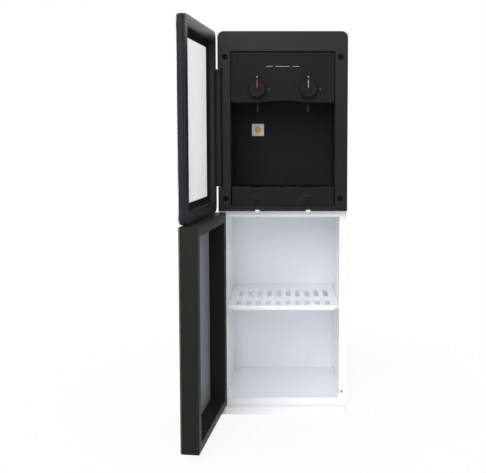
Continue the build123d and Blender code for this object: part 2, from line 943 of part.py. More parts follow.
# Drip tray: a basin that slides on the bay's floor behind a taller front, and the grille in it
tray_side = bay_side - tray_side_gap
tray_bottom = bay_bottom + slide_clearance
tray_top = tray_bottom + tray_lift + tray_height
tray_front = front + tray_setback
tray_back = bay_back - tray_back_gap
basin_side = tray_side - tray_body_inset - tray_wall
basin_y = (tray_front + tray_front_wall + tray_wall, tray_back - tray_wall)
grille_top = tray_top - grille_drop
ledge_top = grille_top - grille_thickness - slide_clearance
ledge_z = (ledge_top - tray_ledge_height, ledge_top)
notch_z_mid = tray_bottom + tray_lift + tray_notch_size / 2
notch_places = [(s * tap_spacing / 2, notch_z_mid) for s in (-1, 1)]
dips = (
    (-tap_spacing / 2, tray_dip_width),
    (0, tray_middle_dip_width),
    (tap_spacing / 2, tray_dip_width),
)
with BuildPart() as drip_tray:
    block(
        (-tray_side + tray_body_inset, tray_side - tray_body_inset),
        (tray_front + tray_front_wall, tray_back),
        (tray_bottom, grille_top),
    )
    block(
        (-basin_side, basin_side),
        basin_y,
        (tray_bottom + tray_wall, grille_top),
        mode=Mode.SUBTRACT,
    )
    block((-tray_side, tray_side), (tray_front, tray_front + tray_front_wall), (tray_bottom, tray_top))
    for x, width in dips:
        with BuildSketch(facing(tray_front)):
            with BuildLine():
                ThreePointArc(
                    (x - width / 2, tray_top), (x, tray_top - tray_dip), (x + width / 2, tray_top)
                )
                Line((x + width / 2, tray_top), (x - width / 2, tray_top))
            make_face()
        extrude(amount=-tray_front_wall, mode=Mode.SUBTRACT)
    with BuildSketch(facing(tray_front)):
        with Locations(notch_places):
            Rectangle(tray_notch_size, tray_notch_size)
            Rectangle(tray_notch_inner, tray_notch_size, mode=Mode.SUBTRACT)
    extrude(amount=-tray_notch_depth, mode=Mode.SUBTRACT)
    block(
        (-basin_side, basin_side),
        (basin_y[0], basin_y[0] + tray_ledge_width),
        ledge_z,
    )
    block(
        (-basin_side, basin_side),
        (basin_y[1] - tray_ledge_width, basin_y[1]),
        ledge_z,
    )
save(drip_tray, "drip_tray")

grille_side = basin_side - slide_clearance
grille_y = (basin_y[0] + slide_clearance, basin_y[1] - slide_clearance)
with BuildPart() as drip_grille:
    block((-grille_side, grille_side), grille_y, (grille_top - grille_thickness, grille_top))
    with BuildSketch(level(grille_top)):
        with Locations((0, (grille_y[0] + grille_y[1]) / 2)):
            with GridLocations(grille_slot_pitch, grille_row_pitch, grille_slot_count, 2):
                SlotOverall(grille_slot_length, grille_slot_width, rotation=90)
    extrude(amount=-grille_thickness, mode=Mode.SUBTRACT)
save(drip_grille, "drip_grille")


# Doors
def door_ring(plane_y, depth, outer, inner, outer_radius, inner_radius):
    """Rectangular ring on the door, from plane_y outwards; outer and inner are (x, z) limits."""
    with BuildPart() as ring:
        with BuildSketch(on_door(plane_y)) as outline:
            rectangle(*outer)
            fillet(outline.vertices(), outer_radius)
        extrude(amount=depth)
        with BuildSketch(on_door(plane_y)) as hole:
            rectangle(*inner)
            fillet(hole.vertices(), inner_radius)
        extrude(amount=depth, mode=Mode.SUBTRACT)
    return ring


upper_outer = ((door_left, door_right), (upper_door_bottom, upper_door_top))
upper_rim = (
    (door_left + upper_door_rim, door_right - upper_door_rim),
    (upper_door_bottom + upper_door_rim, upper_door_top - upper_door_rim),
)
window = (
    (door_left + window_edge, door_right - window_edge),
    (upper_door_bottom + window_edge, upper_door_top - window_edge),
)
upper_frame = door_ring(
    upper_inner_face, upper_door_frame_depth, upper_outer, upper_rim, upper_door_corner, upper_rim_corner
)
save(upper_frame, "upper_door_frame")

# Sloped trim between the frame and the window
with BuildPart() as window_trim:
    with BuildSketch(on_door(door_back_of_skin)) as trim_foot:
        rectangle(*upper_rim)
        fillet(trim_foot.vertices(), upper_rim_corner)
    extrude(amount=-window_trim_depth)
    with BuildSketch(on_door(door_back_of_skin)) as window_edge_sketch:
        rectangle(*window)
        fillet(window_edge_sketch.vertices(), window_corner)
    with BuildSketch(on_door(door_back_of_skin + window_trim_depth)) as flare:
        rectangle(
            (upper_rim[0][0] + trim_flare_inset, upper_rim[0][1] - trim_flare_inset),
            (upper_rim[1][0] + trim_flare_inset, upper_rim[1][1] - trim_flare_inset),
        )
        fillet(flare.vertices(), trim_flare_corner)
    loft(mode=Mode.SUBTRACT)
save(window_trim, "window_trim")

upper_skin = (
    (door_left + skin_inset, door_right - skin_inset),
    (upper_door_bottom + skin_inset, upper_door_top - skin_inset),
)
with BuildPart() as upper_glass:
    with BuildSketch(on_door(door_back_of_skin)) as glass_outline:
        rectangle(*upper_skin)
        fillet(glass_outline.vertices(), upper_door_corner - skin_inset)
    extrude(amount=door_skin)
save(upper_glass, "upper_door_glass")

# Upper hinge: a long barrel on a leaf under the door's edge, on two pins in the fascia's notch
barrel_z = (notch_z[0] + barrel_gap, notch_z[1] - barrel_gap)
with BuildPart() as barrel:
    with BuildSketch(on_door_level(barrel_z[0])):
        with Locations((hinge_x, hinge_y)):
            Circle(barrel_radius)
        rectangle((door_left + barrel_leaf_inset, hinge_x + barrel_leaf_reach), (upper_inner_face, hinge_y))
    extrude(amount=barrel_z[1] - barrel_z[0])
    with BuildSketch(on_door_level(barrel_z[0])):
        with Locations((hinge_x, hinge_y)):
            Circle(barrel_pin_diameter / 2 + running_clearance)
    extrude(amount=barrel_z[1] - barrel_z[0], mode=Mode.SUBTRACT)
save(barrel, "upper_hinge_barrel")

# Lower door: a deep ring with a flat skin, hung on a pin at each end
lower_outer = ((door_left, door_right), (lower_door_bottom, lower_door_top))
lower_inner = (
    (door_left + lower_door_rim, door_right - lower_door_rim),
    (lower_door_bottom + lower_door_bottom_rim, lower_door_top - lower_door_rim),
)
lower_depth = lower_inner_face - door_back_of_skin
catch_z = plinth_height + catch_height - sill_height
striker_z = (catch_z - striker_height / 2, catch_z + striker_height / 2)
striker_x = (side - striker_inset - striker_width, side - striker_inset)
with BuildPart() as lower_frame:
    with BuildSketch(on_door(lower_inner_face)) as lower_outline:
        rectangle(*lower_outer)
        fillet(lower_outline.vertices(), lower_door_corner)
    extrude(amount=lower_depth)
    with BuildSketch(on_door(lower_inner_face)) as lower_hole:
        rectangle(*lower_inner)
        fillet(lower_hole.vertices(), lower_door_corner)
    extrude(amount=lower_depth, mode=Mode.SUBTRACT)
    with BuildSketch(on_door_level(lower_door_bottom)):
        with Locations((hinge_x, hinge_y)):
            Circle(hinge_pin_diameter / 2 + running_clearance)
    extrude(amount=hinge_pin_length + pin_end_gap, mode=Mode.SUBTRACT)
    with BuildSketch(on_door_level(lower_door_top)):
        with Locations((hinge_x, hinge_y)):
            Circle(hinge_pin_diameter / 2 + running_clearance)
    extrude(amount=-(hinge_pin_length + pin_end_gap), mode=Mode.SUBTRACT)
    with BuildSketch(on_door(lower_inner_face)):
        rectangle(striker_x, striker_z)
    extrude(amount=striker_thickness, mode=Mode.SUBTRACT)
save(lower_frame, "lower_door_frame")

lower_skin = (
    (door_left + skin_inset, door_right - skin_inset),
    (lower_door_bottom + skin_inset, lower_door_top - skin_inset),
)
with BuildPart() as lower_panel:
    with BuildSketch(on_door(door_back_of_skin)) as panel_outline:
        rectangle(*lower_skin)
        fillet(panel_outline.vertices(), lower_door_corner)
    extrude(amount=door_skin)
save(lower_panel, "lower_door_panel")

with BuildPart() as striker:
    with BuildSketch(on_door(lower_inner_face)):
        rectangle(striker_x, striker_z)
    extrude(amount=striker_thickness)
save(striker, "catch_striker")

with BuildPart() as catch:
    with BuildSketch(facing(flange_front)):
        with Locations((side - catch_inset, catch_z)):
            Circle(catch_diameter / 2)
    extrude(amount=catch_proud)
save(catch, "catch_magnet")

# Hinge pins of the lower door: one stands on the plinth, one hangs from a bracket on the flange
with BuildPart() as hinge_pins:
    with BuildSketch(level(plinth_height)):
        with Locations((hinge_x + pin_plate_shift, hinge_y)):
            RectangleRounded(pin_plate_size, pin_plate_size, pin_plate_corner)
    extrude(amount=pin_plate_thickness)
    with BuildSketch(level(plinth_height)):
        with Locations((hinge_x, hinge_y)):
            Circle(hinge_pin_diameter / 2)
    extrude(amount=lower_door_bottom_gap + hinge_pin_length)
    for z in (notch_z[0] - barrel_pin_length, notch_z[1] - barrel_gap - barrel_pin_length):
        with BuildSketch(level(z)):
            with Locations((hinge_x, hinge_y)):
                Circle(barrel_pin_diameter / 2)
        extrude(amount=2 * barrel_pin_length + barrel_gap)
save(hinge_pins, "hinge_pins")

bracket_top = fascia_bottom - slide_clearance
with BuildPart() as hinge_bracket:
    block(
        (-side + bracket_inset, -side + bracket_reach),
        (front + bracket_setback, flange_front),
        (bracket_top - bracket_thickness, bracket_top),
    )
    block(
        (-side + bracket_tab_inset, -side + bracket_reach),
        (flange_front - bracket_tab_wall, flange_front),
        (bracket_top - bracket_thickness, fascia_bottom + bracket_tab),
    )
    with BuildSketch(level(bracket_top)):
        with Locations((hinge_x, hinge_y)):
            Circle(hinge_pin_diameter / 2)
    extrude(amount=-(lower_door_top_gap + hinge_pin_length - slide_clearance))
save(hinge_bracket, "middle_hinge_bracket")

# Top cover: a cap with the fascia's own corners, and an opening for the bottle seat
with BuildPart() as top_cover:
    with BuildSketch(facing(flange_front)) as cover_outline:
        rectangle((-side, side), (cover_bottom, fascia_top))
        fillet(cover_outline.vertices().group_by(Axis.Y)[-1], fascia_corner)
    extrude(amount=-(body_depth - fascia_depth))
    with BuildSketch(facing(flange_front + cover_wall)) as cover_hollow:
        rectangle((-side + cover_wall, side - cover_wall), (cover_bottom, fascia_top - cover_wall))
        fillet(cover_hollow.vertices().group_by(Axis.Y)[-1], fascia_corner - cover_wall)
    extrude(amount=-(body_depth - fascia_depth - 2 * cover_wall), mode=Mode.SUBTRACT)
    with BuildSketch(level(fascia_top)):
        with Locations((0, seat_y)):
            Circle(seat_rim_radius + slide_clearance)
    extrude(amount=-cover_wall, mode=Mode.SUBTRACT)
save(top_cover, "top_cover")

# Bottle seat: a funnel that carries the bottle's shoulder, and below it a sleeve for the neck
with BuildPart() as bottle_seat:
    with BuildSketch(Plane.XZ.offset(-seat_y)):
        with BuildLine():
            Polyline(
                (seat_flange_radius, fascia_top),
                (seat_flange_radius, fascia_top + seat_edge_height),
                (seat_flange_radius - seat_bevel, seat_top),
                (seat_rim_radius - seat_rim_width, seat_top),
                (seat_neck_radius, seat_top - seat_cone_depth),
                (seat_neck_radius, seat_floor - seat_wall),
                (seat_neck_radius + seat_wall, seat_floor - seat_wall),
                (seat_neck_radius + seat_wall, seat_top - seat_cone_depth - seat_cone_drop),
                (seat_rim_radius, fascia_top - seat_rim_drop),
                (seat_rim_radius, fascia_top),
                close=True,
            )
        make_face()
    revolve(axis=Axis((0, seat_y, 0), (0, 0, 1)))
save(bottle_seat, "bottle_seat")

# Probe that opens the bottle's cap, and the disc that closes the sleeve round it
probe_foot = tank_top - probe_foot_drop
probe_top = seat_floor + probe_height
with BuildPart() as bottle_probe:
    with BuildSketch(Plane.XZ.offset(-seat_y)):
        with BuildLine():
            Polyline(
                (0, probe_top),
                (probe_tip_radius, probe_top),
                (probe_diameter / 2, probe_top - probe_cone),
                (probe_diameter / 2, seat_floor + probe_collar_height),
                (probe_collar / 2, seat_floor + probe_collar_height),
                (probe_collar / 2, seat_floor),
                (probe_diameter / 2, seat_floor),
                (probe_diameter / 2, probe_foot),
                (probe_bore / 2, probe_foot),
                (probe_bore / 2, probe_top - probe_bore_end),
                (0, probe_top - probe_bore_tip),
                close=True,
            )
        make_face()
    revolve(axis=Axis((0, seat_y, 0), (0, 0, 1)))
    with Locations(Location((0, seat_y, seat_floor + probe_window_lift))):
        for turn in (0, 90):
            Box(
                probe_window_width,
                2 * probe_diameter,
                probe_window_height,
                rotation=(0, 0, turn),
                mode=Mode.SUBTRACT,
            )
    with BuildSketch(level(seat_floor - slide_clearance)):
        with Locations((0, seat_y)):
            Circle(seat_neck_radius - slide_clearance)
            Circle(probe_diameter / 2 + slide_clearance, mode=Mode.SUBTRACT)
    extrude(amount=-(seat_wall - slide_clearance))
save(bottle_probe, "bottle_probe")

# Cold tank in its foam, carried by a bracket between the side panels
foam_outer = (cold_tank_width + 2 * foam_wall, cold_tank_depth + 2 * foam_wall)
with BuildPart() as cold_tank:
    with BuildSketch(level(tank_bottom)):
        with Locations((0, tank_mid_y)):
            RectangleRounded(cold_tank_width, cold_tank_depth, cold_tank_corner)
    extrude(amount=cold_tank_height)
    with BuildSketch(level(tank_bottom + cold_tank_wall)):
        with Locations((0, tank_mid_y)):
            RectangleRounded(
                cold_tank_width - 2 * cold_tank_wall,
                cold_tank_depth - 2 * cold_tank_wall,
                cold_tank_corner - cold_tank_wall,
            )
    extrude(amount=cold_tank_height, mode=Mode.SUBTRACT)
    with BuildSketch(level(tank_bottom)):
        with Locations((transfer_x, hot_tank_y)):
            Circle(pipe_bore / 2)
    extrude(amount=-nozzle_length)
    with BuildSketch(facing(tank_front)):
        with Locations((tap_spacing / 2, knob_z)):
            Circle(pipe_bore / 2)
    extrude(amount=nozzle_length)
    with BuildSketch(level(tank_bottom - nozzle_length)):
        with Locations((transfer_x, hot_tank_y)):
            Circle(pipe_bore / 2 - nozzle_wall)
    extrude(amount=nozzle_length + cold_tank_wall, mode=Mode.SUBTRACT)
    with BuildSketch(facing(tank_front - nozzle_length)):
        with Locations((tap_spacing / 2, knob_z)):
            Circle(pipe_bore / 2 - nozzle_wall)
    extrude(amount=-(nozzle_length + cold_tank_wall), mode=Mode.SUBTRACT)
save(cold_tank, "cold_tank")

with BuildPart() as tank_lid:
    with BuildSketch(level(tank_top)):
        with Locations((0, tank_mid_y)):
            RectangleRounded(cold_tank_width, cold_tank_depth, cold_tank_corner)
        with Locations((0, seat_y)):
            Circle(probe_diameter / 2 + slide_clearance, mode=Mode.SUBTRACT)
    extrude(amount=tank_lid_thickness)
save(tank_lid, "cold_tank_lid")

with BuildPart() as foam_body:
    with BuildSketch(level(foam_bottom)):
        with Locations((0, tank_mid_y)):
            RectangleRounded(*foam_outer, cold_tank_corner)
    extrude(amount=tank_top - foam_bottom)
    with BuildSketch(level(tank_bottom)):
        with Locations((0, tank_mid_y)):
            RectangleRounded(cold_tank_width, cold_tank_depth, cold_tank_corner)
    extrude(amount=cold_tank_height, mode=Mode.SUBTRACT)
    with BuildSketch(level(foam_bottom)):
        with Locations((transfer_x, hot_tank_y)):
            Circle(pipe_diameter / 2 + pipe_gap)
    extrude(amount=foam_wall, mode=Mode.SUBTRACT)
    with BuildSketch(facing(foam_front)):
        with Locations((tap_spacing / 2, knob_z)):
            Circle(pipe_diameter / 2 + pipe_gap)
    extrude(amount=-foam_wall, mode=Mode.SUBTRACT)
    with BuildSketch(facing(tank_back)):
        with Locations((0, peltier_z)):
            Rectangle(cold_block_size, cold_block_size)
    extrude(amount=-foam_wall, mode=Mode.SUBTRACT)
save(foam_body, "cold_tank_foam")

with BuildPart() as tank_bracket:
    block(
        (-side + sheet, side - sheet),
        (foam_front, foam_back),
        (foam_bottom - bracket_plate, foam_bottom),
    )
    for s in (-1, 1):
        block(
            sorted((s * (side - sheet - bracket_plate), s * (side - sheet))),
            (foam_front, foam_back),
            (foam_bottom - bracket_skirt, foam_bottom),
        )
    with BuildSketch(level(foam_bottom - bracket_plate)):
        with Locations((transfer_x, hot_tank_y)):
            Circle(pipe_diameter / 2 + pipe_gap)
        with Locations((-side + riser_inset, hot_tank_y)):
            Circle(pipe_diameter / 2 + 2 * pipe_gap)
    extrude(amount=bracket_plate, mode=Mode.SUBTRACT)
save(tank_bracket, "tank_bracket")

# Thermoelectric cooler: block on the tank, module, finned heat sink and fan
with BuildPart() as cold_block:
    with BuildSketch(facing(tank_back)):
        with Locations((0, peltier_z)):
            Rectangle(cold_block_size, cold_block_size)
    extrude(amount=-(foam_wall + cold_block_proud))
save(cold_block, "cold_block")

with BuildPart() as peltier:
    with BuildSketch(facing(peltier_front)):
        with Locations((0, peltier_z)):
            Rectangle(peltier_size, peltier_size)
    extrude(amount=-peltier_thickness)
save(peltier, "peltier_module")

fin_pitch = (sink_size - sink_fin_thickness) / (sink_fin_count - 1)
with BuildPart() as heat_sink:
    with BuildSketch(facing(sink_front)):
        with Locations((0, peltier_z)):
            Rectangle(sink_size, sink_size)
    extrude(amount=-sink_base)
    with BuildSketch(facing(sink_front + sink_base)):
        with Locations((0, peltier_z)):
            with GridLocations(fin_pitch, 1, sink_fin_count, 1):
                Rectangle(sink_fin_thickness, sink_size)
    extrude(amount=-sink_fin_height)
save(heat_sink, "heat_sink")

fan_back = fan_front + fan_depth
fan_hole_pitch = fan_size - 2 * fan_hole_inset
hub_back = fan_back - fan_spider
with BuildPart() as fan_frame:
    with BuildSketch(facing(fan_front)):
        with Locations((0, peltier_z)):
            RectangleRounded(fan_size, fan_size, fan_corner)
            Circle(fan_bore / 2, mode=Mode.SUBTRACT)
    extrude(amount=-fan_depth)
    with BuildSketch(facing(hub_back)):
        with Locations((0, peltier_z)):
            Circle(fan_hub / 2)
            Rectangle(fan_size - 2 * fan_arm_inset, fan_arm_width)
            Rectangle(fan_arm_width, fan_size - 2 * fan_arm_inset)
    extrude(amount=-(fan_back - hub_back))
    with BuildSketch(facing(hub_back)):
        with Locations((0, peltier_z)):
            Circle(fan_shaft / 2 + running_clearance)
    extrude(amount=-(fan_back - hub_back), mode=Mode.SUBTRACT)
    with Locations(facing(fan_front)):
        with Locations((0, peltier_z)):
            with GridLocations(fan_hole_pitch, fan_hole_pitch, 2, 2):
                Hole(fan_hole_diameter / 2)
save(fan_frame, "fan_frame")

rotor_front = fan_front + rotor_inset
rotor_back = hub_back - rotor_gap
blade_root = fan_hub / 2 - blade_bury
blade_tip = fan_bore / 2 - blade_tip_gap
with BuildPart() as fan_rotor:
    with BuildSketch(facing(rotor_front)):
        with Locations((0, peltier_z)):
            Circle(fan_hub / 2)
    extrude(amount=-(rotor_back - rotor_front))
    for n in range(fan_blades):
        turn = 360 * n / fan_blades
        blade_plane = Plane(
            origin=(0, (rotor_front + rotor_back) / 2, peltier_z),
            x_dir=(0, 1, 0),
            z_dir=(cos(radians(turn)), 0, sin(radians(turn))),
        )
        with BuildSketch(blade_plane.offset(blade_root)):
            Rectangle(blade_chord, blade_thickness, rotation=blade_pitch)
        extrude(amount=blade_tip - blade_root)
    with BuildSketch(facing(rotor_back)):
        with Locations((0, peltier_z)):
            Circle(fan_shaft / 2)
    extrude(amount=-(fan_back - rotor_back - rotor_gap))
save(fan_rotor, "fan_rotor")

# Hot tank in its jacket, with its band heater and two thermostats
hot_centre = (hot_tank_x, hot_tank_y)
hot_drain_z = hot_tank_bottom + drain_height
with BuildPart() as hot_tank:
    with BuildSketch(level(hot_tank_bottom)):
        with Locations(hot_centre):
            Circle(hot_tank_diameter / 2)
    extrude(amount=hot_tank_height)
    with BuildSketch(level(hot_tank_bottom + hot_tank_wall)):
        with Locations(hot_centre):
            Circle(hot_tank_diameter / 2 - hot_tank_wall)
    extrude(amount=hot_tank_height - 2 * hot_tank_wall, mode=Mode.SUBTRACT)
    with BuildSketch(level(hot_tank_top)):
        with Locations((transfer_x, hot_tank_y), (hot_outlet_x, hot_tank_y)):
            Circle(pipe_bore / 2)
    extrude(amount=nozzle_length)
    with BuildSketch(facing(hot_tank_y + hot_tank_diameter / 2 - nozzle_bury)):
        with Locations((hot_tank_x, hot_drain_z)):
            Circle(pipe_bore / 2)
    extrude(amount=-(nozzle_length + nozzle_bury))
    with BuildSketch(level(hot_tank_top - 2 * hot_tank_wall)):
        with Locations((transfer_x, hot_tank_y), (hot_outlet_x, hot_tank_y)):
            Circle(pipe_bore / 2 - nozzle_wall)
    extrude(amount=nozzle_length + 2 * hot_tank_wall, mode=Mode.SUBTRACT)
    with BuildSketch(facing(hot_tank_y + hot_tank_diameter / 2 - nozzle_bore_start)):
        with Locations((hot_tank_x, hot_drain_z)):
            Circle(pipe_bore / 2 - nozzle_wall)
    extrude(amount=-(nozzle_length + nozzle_bore_start), mode=Mode.SUBTRACT)
save(hot_tank, "hot_tank")

with BuildPart() as hot_jacket:
    with BuildSketch(level(divider_top)):
        with Locations(hot_centre):
            Circle(jacket_radius + jacket_wall)
    extrude(amount=jacket_floor + hot_tank_height)
    with BuildSketch(level(hot_tank_bottom)):
        with Locations(hot_centre):
            Circle(jacket_radius)
    extrude(amount=hot_tank_height, mode=Mode.SUBTRACT)
    with BuildSketch(facing(hot_tank_y)):
        with Locations((hot_tank_x, hot_drain_z)):
            Circle(pipe_diameter / 2 + pipe_gap)
    extrude(amount=-hot_tank_diameter, mode=Mode.SUBTRACT)
save(hot_jacket, "hot_tank_jacket")

band_bottom = hot_tank_bottom + (hot_tank_height - band_height) / 2
with BuildPart() as band_heater:
    with BuildSketch(level(band_bottom)):
        with Locations(hot_centre):
            Circle(hot_tank_diameter / 2 + band_thickness)
            Circle(hot_tank_diameter / 2, mode=Mode.SUBTRACT)
    extrude(amount=band_height)
    block(
        (hot_tank_x - band_slot / 2, hot_tank_x + band_slot / 2),
        (hot_tank_y - jacket_radius, hot_tank_y - hot_tank_diameter / 2 + band_thickness),
        (band_bottom, band_bottom + band_height),
        mode=Mode.SUBTRACT,
    )
save(band_heater, "band_heater")

with BuildPart() as thermostats:
    with BuildSketch(level(hot_tank_top)):
        with Locations([(hot_tank_x, hot_tank_y + s * thermostat_offset) for s in (-1, 1)]):
            Circle(thermostat_diameter / 2)
    extrude(amount=thermostat_height)
save(thermostats, "thermostats")


# Pipes: round tubes along straight runs joined by bends
riser_x = -side + riser_inset
riser_z = hot_tank_top + riser_lift
over_tap_y = bay_back - over_tap_reach
over_tap_z = knob_z + over_tap_lift
hot_route = [
    (hot_outlet_x, hot_tank_y, hot_tank_top),
    (hot_outlet_x, hot_tank_y, riser_z),
    (riser_x, hot_tank_y, riser_z),
    (riser_x, hot_tank_y, over_tap_z),
    (riser_x, over_tap_y, over_tap_z),
    (-tap_spacing / 2, over_tap_y, over_tap_z),
    (-tap_spacing / 2, over_tap_y, knob_z),
    (-tap_spacing / 2, tap_back, knob_z),
]
cold_route = [(tap_spacing / 2, tank_front, knob_z), (tap_spacing / 2, tap_back, knob_z)]
transfer_route = [(transfer_x, hot_tank_y, tank_bottom), (transfer_x, hot_tank_y, hot_tank_top)]
drain_route = [
    (hot_tank_x, hot_tank_y + hot_tank_diameter / 2 + slide_clearance, hot_drain_z),
    (hot_tank_x, outlet_front, hot_drain_z),
]
with BuildPart() as pipes:
    for route, bend in ((hot_route, pipe_bend), (cold_route, 0), (transfer_route, 0), (drain_route, 0)):
        with BuildLine() as run:
            if bend:
                FilletPolyline(*route, radius=bend)
            else:
                Line(*route)
        with BuildSketch(Plane(origin=route[0], z_dir=Vector(route[1]) - Vector(route[0]))):
            Circle(pipe_diameter / 2)
            Circle(pipe_bore / 2, mode=Mode.SUBTRACT)
        sweep(path=run.wires()[0])
save(pipes, "water_pipes")

# Rear panel: sheet with louvres behind the fan, and holes for the drain, inlet and switches
rear_side = side - sheet
switch_places = [(switch_x + s * switch_spacing / 2, switch_height) for s in (-1, 1)]
housing_width = rocker_width + 2 * housing_wall
housing_height = rocker_length + 2 * housing_end_wall
with BuildPart() as rear_panel:
    block((-rear_side, rear_side), (back - sheet, back), (plinth_height, cover_bottom))
    with BuildSketch(facing(back)):
        with Locations((0, peltier_z)):
            with GridLocations(louvre_width + louvre_gap, louvre_pitch, 2, louvre_rows):
                SlotOverall(louvre_width, louvre_height)
        with Locations((0, vent_height)):
            with GridLocations(louvre_width + louvre_gap, louvre_pitch, low_vent_columns, low_vent_rows):
                SlotOverall(louvre_width, louvre_height)
        with Locations((hot_tank_x, hot_drain_z)):
            Circle(drain_diameter / 2 + slide_clearance)
        with Locations((switch_x, inlet_height)):
            Rectangle(inlet_width, inlet_tall)
        with Locations(switch_places):
            Rectangle(housing_width, housing_height)
    extrude(amount=sheet, mode=Mode.SUBTRACT)
save(rear_panel, "rear_panel")

# Drain outlet and its screw cap
with BuildPart() as drain_outlet:
    with BuildSketch(facing(outlet_front)):
        with Locations((hot_tank_x, hot_drain_z)):
            Circle(drain_diameter / 2)
            Circle(pipe_bore / 2, mode=Mode.SUBTRACT)
    extrude(amount=-(outlet_depth + sheet + outlet_proud))
    with BuildSketch(facing(back - sheet)):
        with Locations((hot_tank_x, hot_drain_z)):
            Circle(drain_diameter / 2 + outlet_flange)
            Circle(drain_diameter / 2, mode=Mode.SUBTRACT)
    extrude(amount=outlet_flange_thickness)
save(drain_outlet, "drain_outlet")

with BuildPart() as drain_cap:
    with BuildSketch(facing(back + drain_cap_gap)):
        with Locations((hot_tank_x, hot_drain_z)):
            RegularPolygon(drain_diameter / 2 + drain_cap_wall, drain_cap_sides)
    extrude(amount=-drain_cap_length)
    with BuildSketch(facing(back + drain_cap_gap)):
        with Locations((hot_tank_x, hot_drain_z)):
            Circle(drain_diameter / 2 + running_clearance)
    extrude(amount=-drain_cap_bore, mode=Mode.SUBTRACT)
save(drain_cap, "drain_cap")

# Mains inlet: a shrouded socket with three blades
blade_places = [
    (switch_x - blade_spread, inlet_height + blade_stagger),
    (switch_x, inlet_height - blade_stagger),
    (switch_x + blade_spread, inlet_height + blade_stagger),
]
with BuildPart() as inlet:
    with BuildSketch(facing(back)):
        with Locations((switch_x, inlet_height)):
            RectangleRounded(inlet_width + 2 * inlet_flange, inlet_tall + 2 * inlet_flange, inlet_corner)
    extrude(amount=-face_plate)
    with BuildSketch(facing(back)):
        with Locations((switch_x, inlet_height)):
            Rectangle(inlet_width - 2 * inlet_fit, inlet_tall - 2 * inlet_fit)
    extrude(amount=inlet_depth)
    with BuildSketch(facing(back + face_plate)):
        with Locations((switch_x, inlet_height)):
            RectangleRounded(socket_width, socket_tall, socket_corner)
    extrude(amount=socket_depth, mode=Mode.SUBTRACT)
    with BuildSketch(facing(back + face_plate - socket_depth)):
        with Locations(blade_places):
            Rectangle(blade_width, blade_tall)
    extrude(amount=-blade_length)
save(inlet, "mains_inlet")

# Heating and cooling switches: housings in the rear panel, and a rocker in each
pivot_y = back + face_plate - rocker_pivot_depth
window_width = rocker_width + 2 * rocker_side_gap
window_height = rocker_length + 2 * rocker_end_gap
socket_length = rocker_width + 2 * (rocker_pivot_reach + slide_clearance)
with BuildPart() as housings:
    with BuildSketch(facing(back)):
        with Locations(switch_places):
            RectangleRounded(
                housing_width + 2 * housing_flange,
                housing_height + 2 * housing_flange,
                housing_corner,
            )
    extrude(amount=-face_plate)
    with BuildSketch(facing(back)):
        with Locations(switch_places):
            Rectangle(housing_width - 2 * cap_clearance, housing_height - 2 * cap_clearance)
    extrude(amount=housing_depth)
    with BuildSketch(facing(back + face_plate)):
        with Locations(switch_places):
            Rectangle(window_width, window_height)
    extrude(amount=housing_pocket, mode=Mode.SUBTRACT)
    for place in switch_places:
        with Locations(Location((place[0], pivot_y, place[1]), (0, 90, 0))):
            Cylinder(rocker_pivot_radius + running_clearance, socket_length, mode=Mode.SUBTRACT)
save(housings, "switch_housings")


def rocker(place):
    """Rocker with two flat halves, pressed in at the bottom at rest, on stub pivots."""
    x, z = place
    rise = rocker_length / 2 * sin(radians(rocker_tilt))
    with BuildPart() as piece:
        with BuildSketch(Plane(across(x).location * Location((pivot_y, z, 0), (0, 0, -rocker_tilt)))):
            with BuildLine():
                Polyline(
                    (-rocker_tail, -rocker_tail_half),
                    (-rocker_end, -rocker_length / 2),
                    (rocker_face + rise, -rocker_length / 2),
                    (rocker_face, 0),
                    (rocker_face + rise, rocker_length / 2),
                    (-rocker_end, rocker_length / 2),
                    (-rocker_tail, rocker_tail_half),
                    close=True,
                )
            make_face()
        extrude(amount=rocker_width / 2, both=True)
        with Locations(Location((x, pivot_y, z), (0, 90, 0))):
            Cylinder(rocker_pivot_radius, rocker_width + 2 * rocker_pivot_reach)
    return piece


save(rocker(switch_places[0]), "heating_rocker")
save(rocker(switch_places[1]), "cooling_rocker")

# Power board on four standoffs, with its transformer, capacitors and a small heat sink
board_bottom = divider_top + standoff_height
board_top = board_bottom + board_thickness
with BuildPart() as standoffs:
    with BuildSketch(level(divider_top)):
        with Locations(board_centre):
            with GridLocations(board_width - 2 * standoff_inset, board_depth - 2 * standoff_inset, 2, 2):
                Circle(standoff_diameter / 2)
    extrude(amount=standoff_height)
save(standoffs, "board_standoffs")

with BuildPart() as board:
    with BuildSketch(level(board_bottom)):
        with Locations(board_centre):
            Rectangle(board_width, board_depth)
    extrude(amount=board_thickness)
save(board, "power_board")

with BuildPart() as board_parts:
    with BuildSketch(level(board_top)):
        with Locations(Location((*board_centre, 0)) * Location((*transformer_place, 0))):
            RectangleRounded(transformer_width, transformer_depth, transformer_corner)
    extrude(amount=transformer_height)
    with BuildSketch(level(board_top)):
        with Locations((board_centre[0] + capacitor_x, board_centre[1])):
            with GridLocations(1, capacitor_pitch, 1, 3):
                Circle(capacitor_diameter / 2)
    extrude(amount=capacitor_height)
save(board_parts, "board_parts")
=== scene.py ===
import bpy
import bmesh
import json
import math
import numpy as np
from mathutils import Matrix, Vector


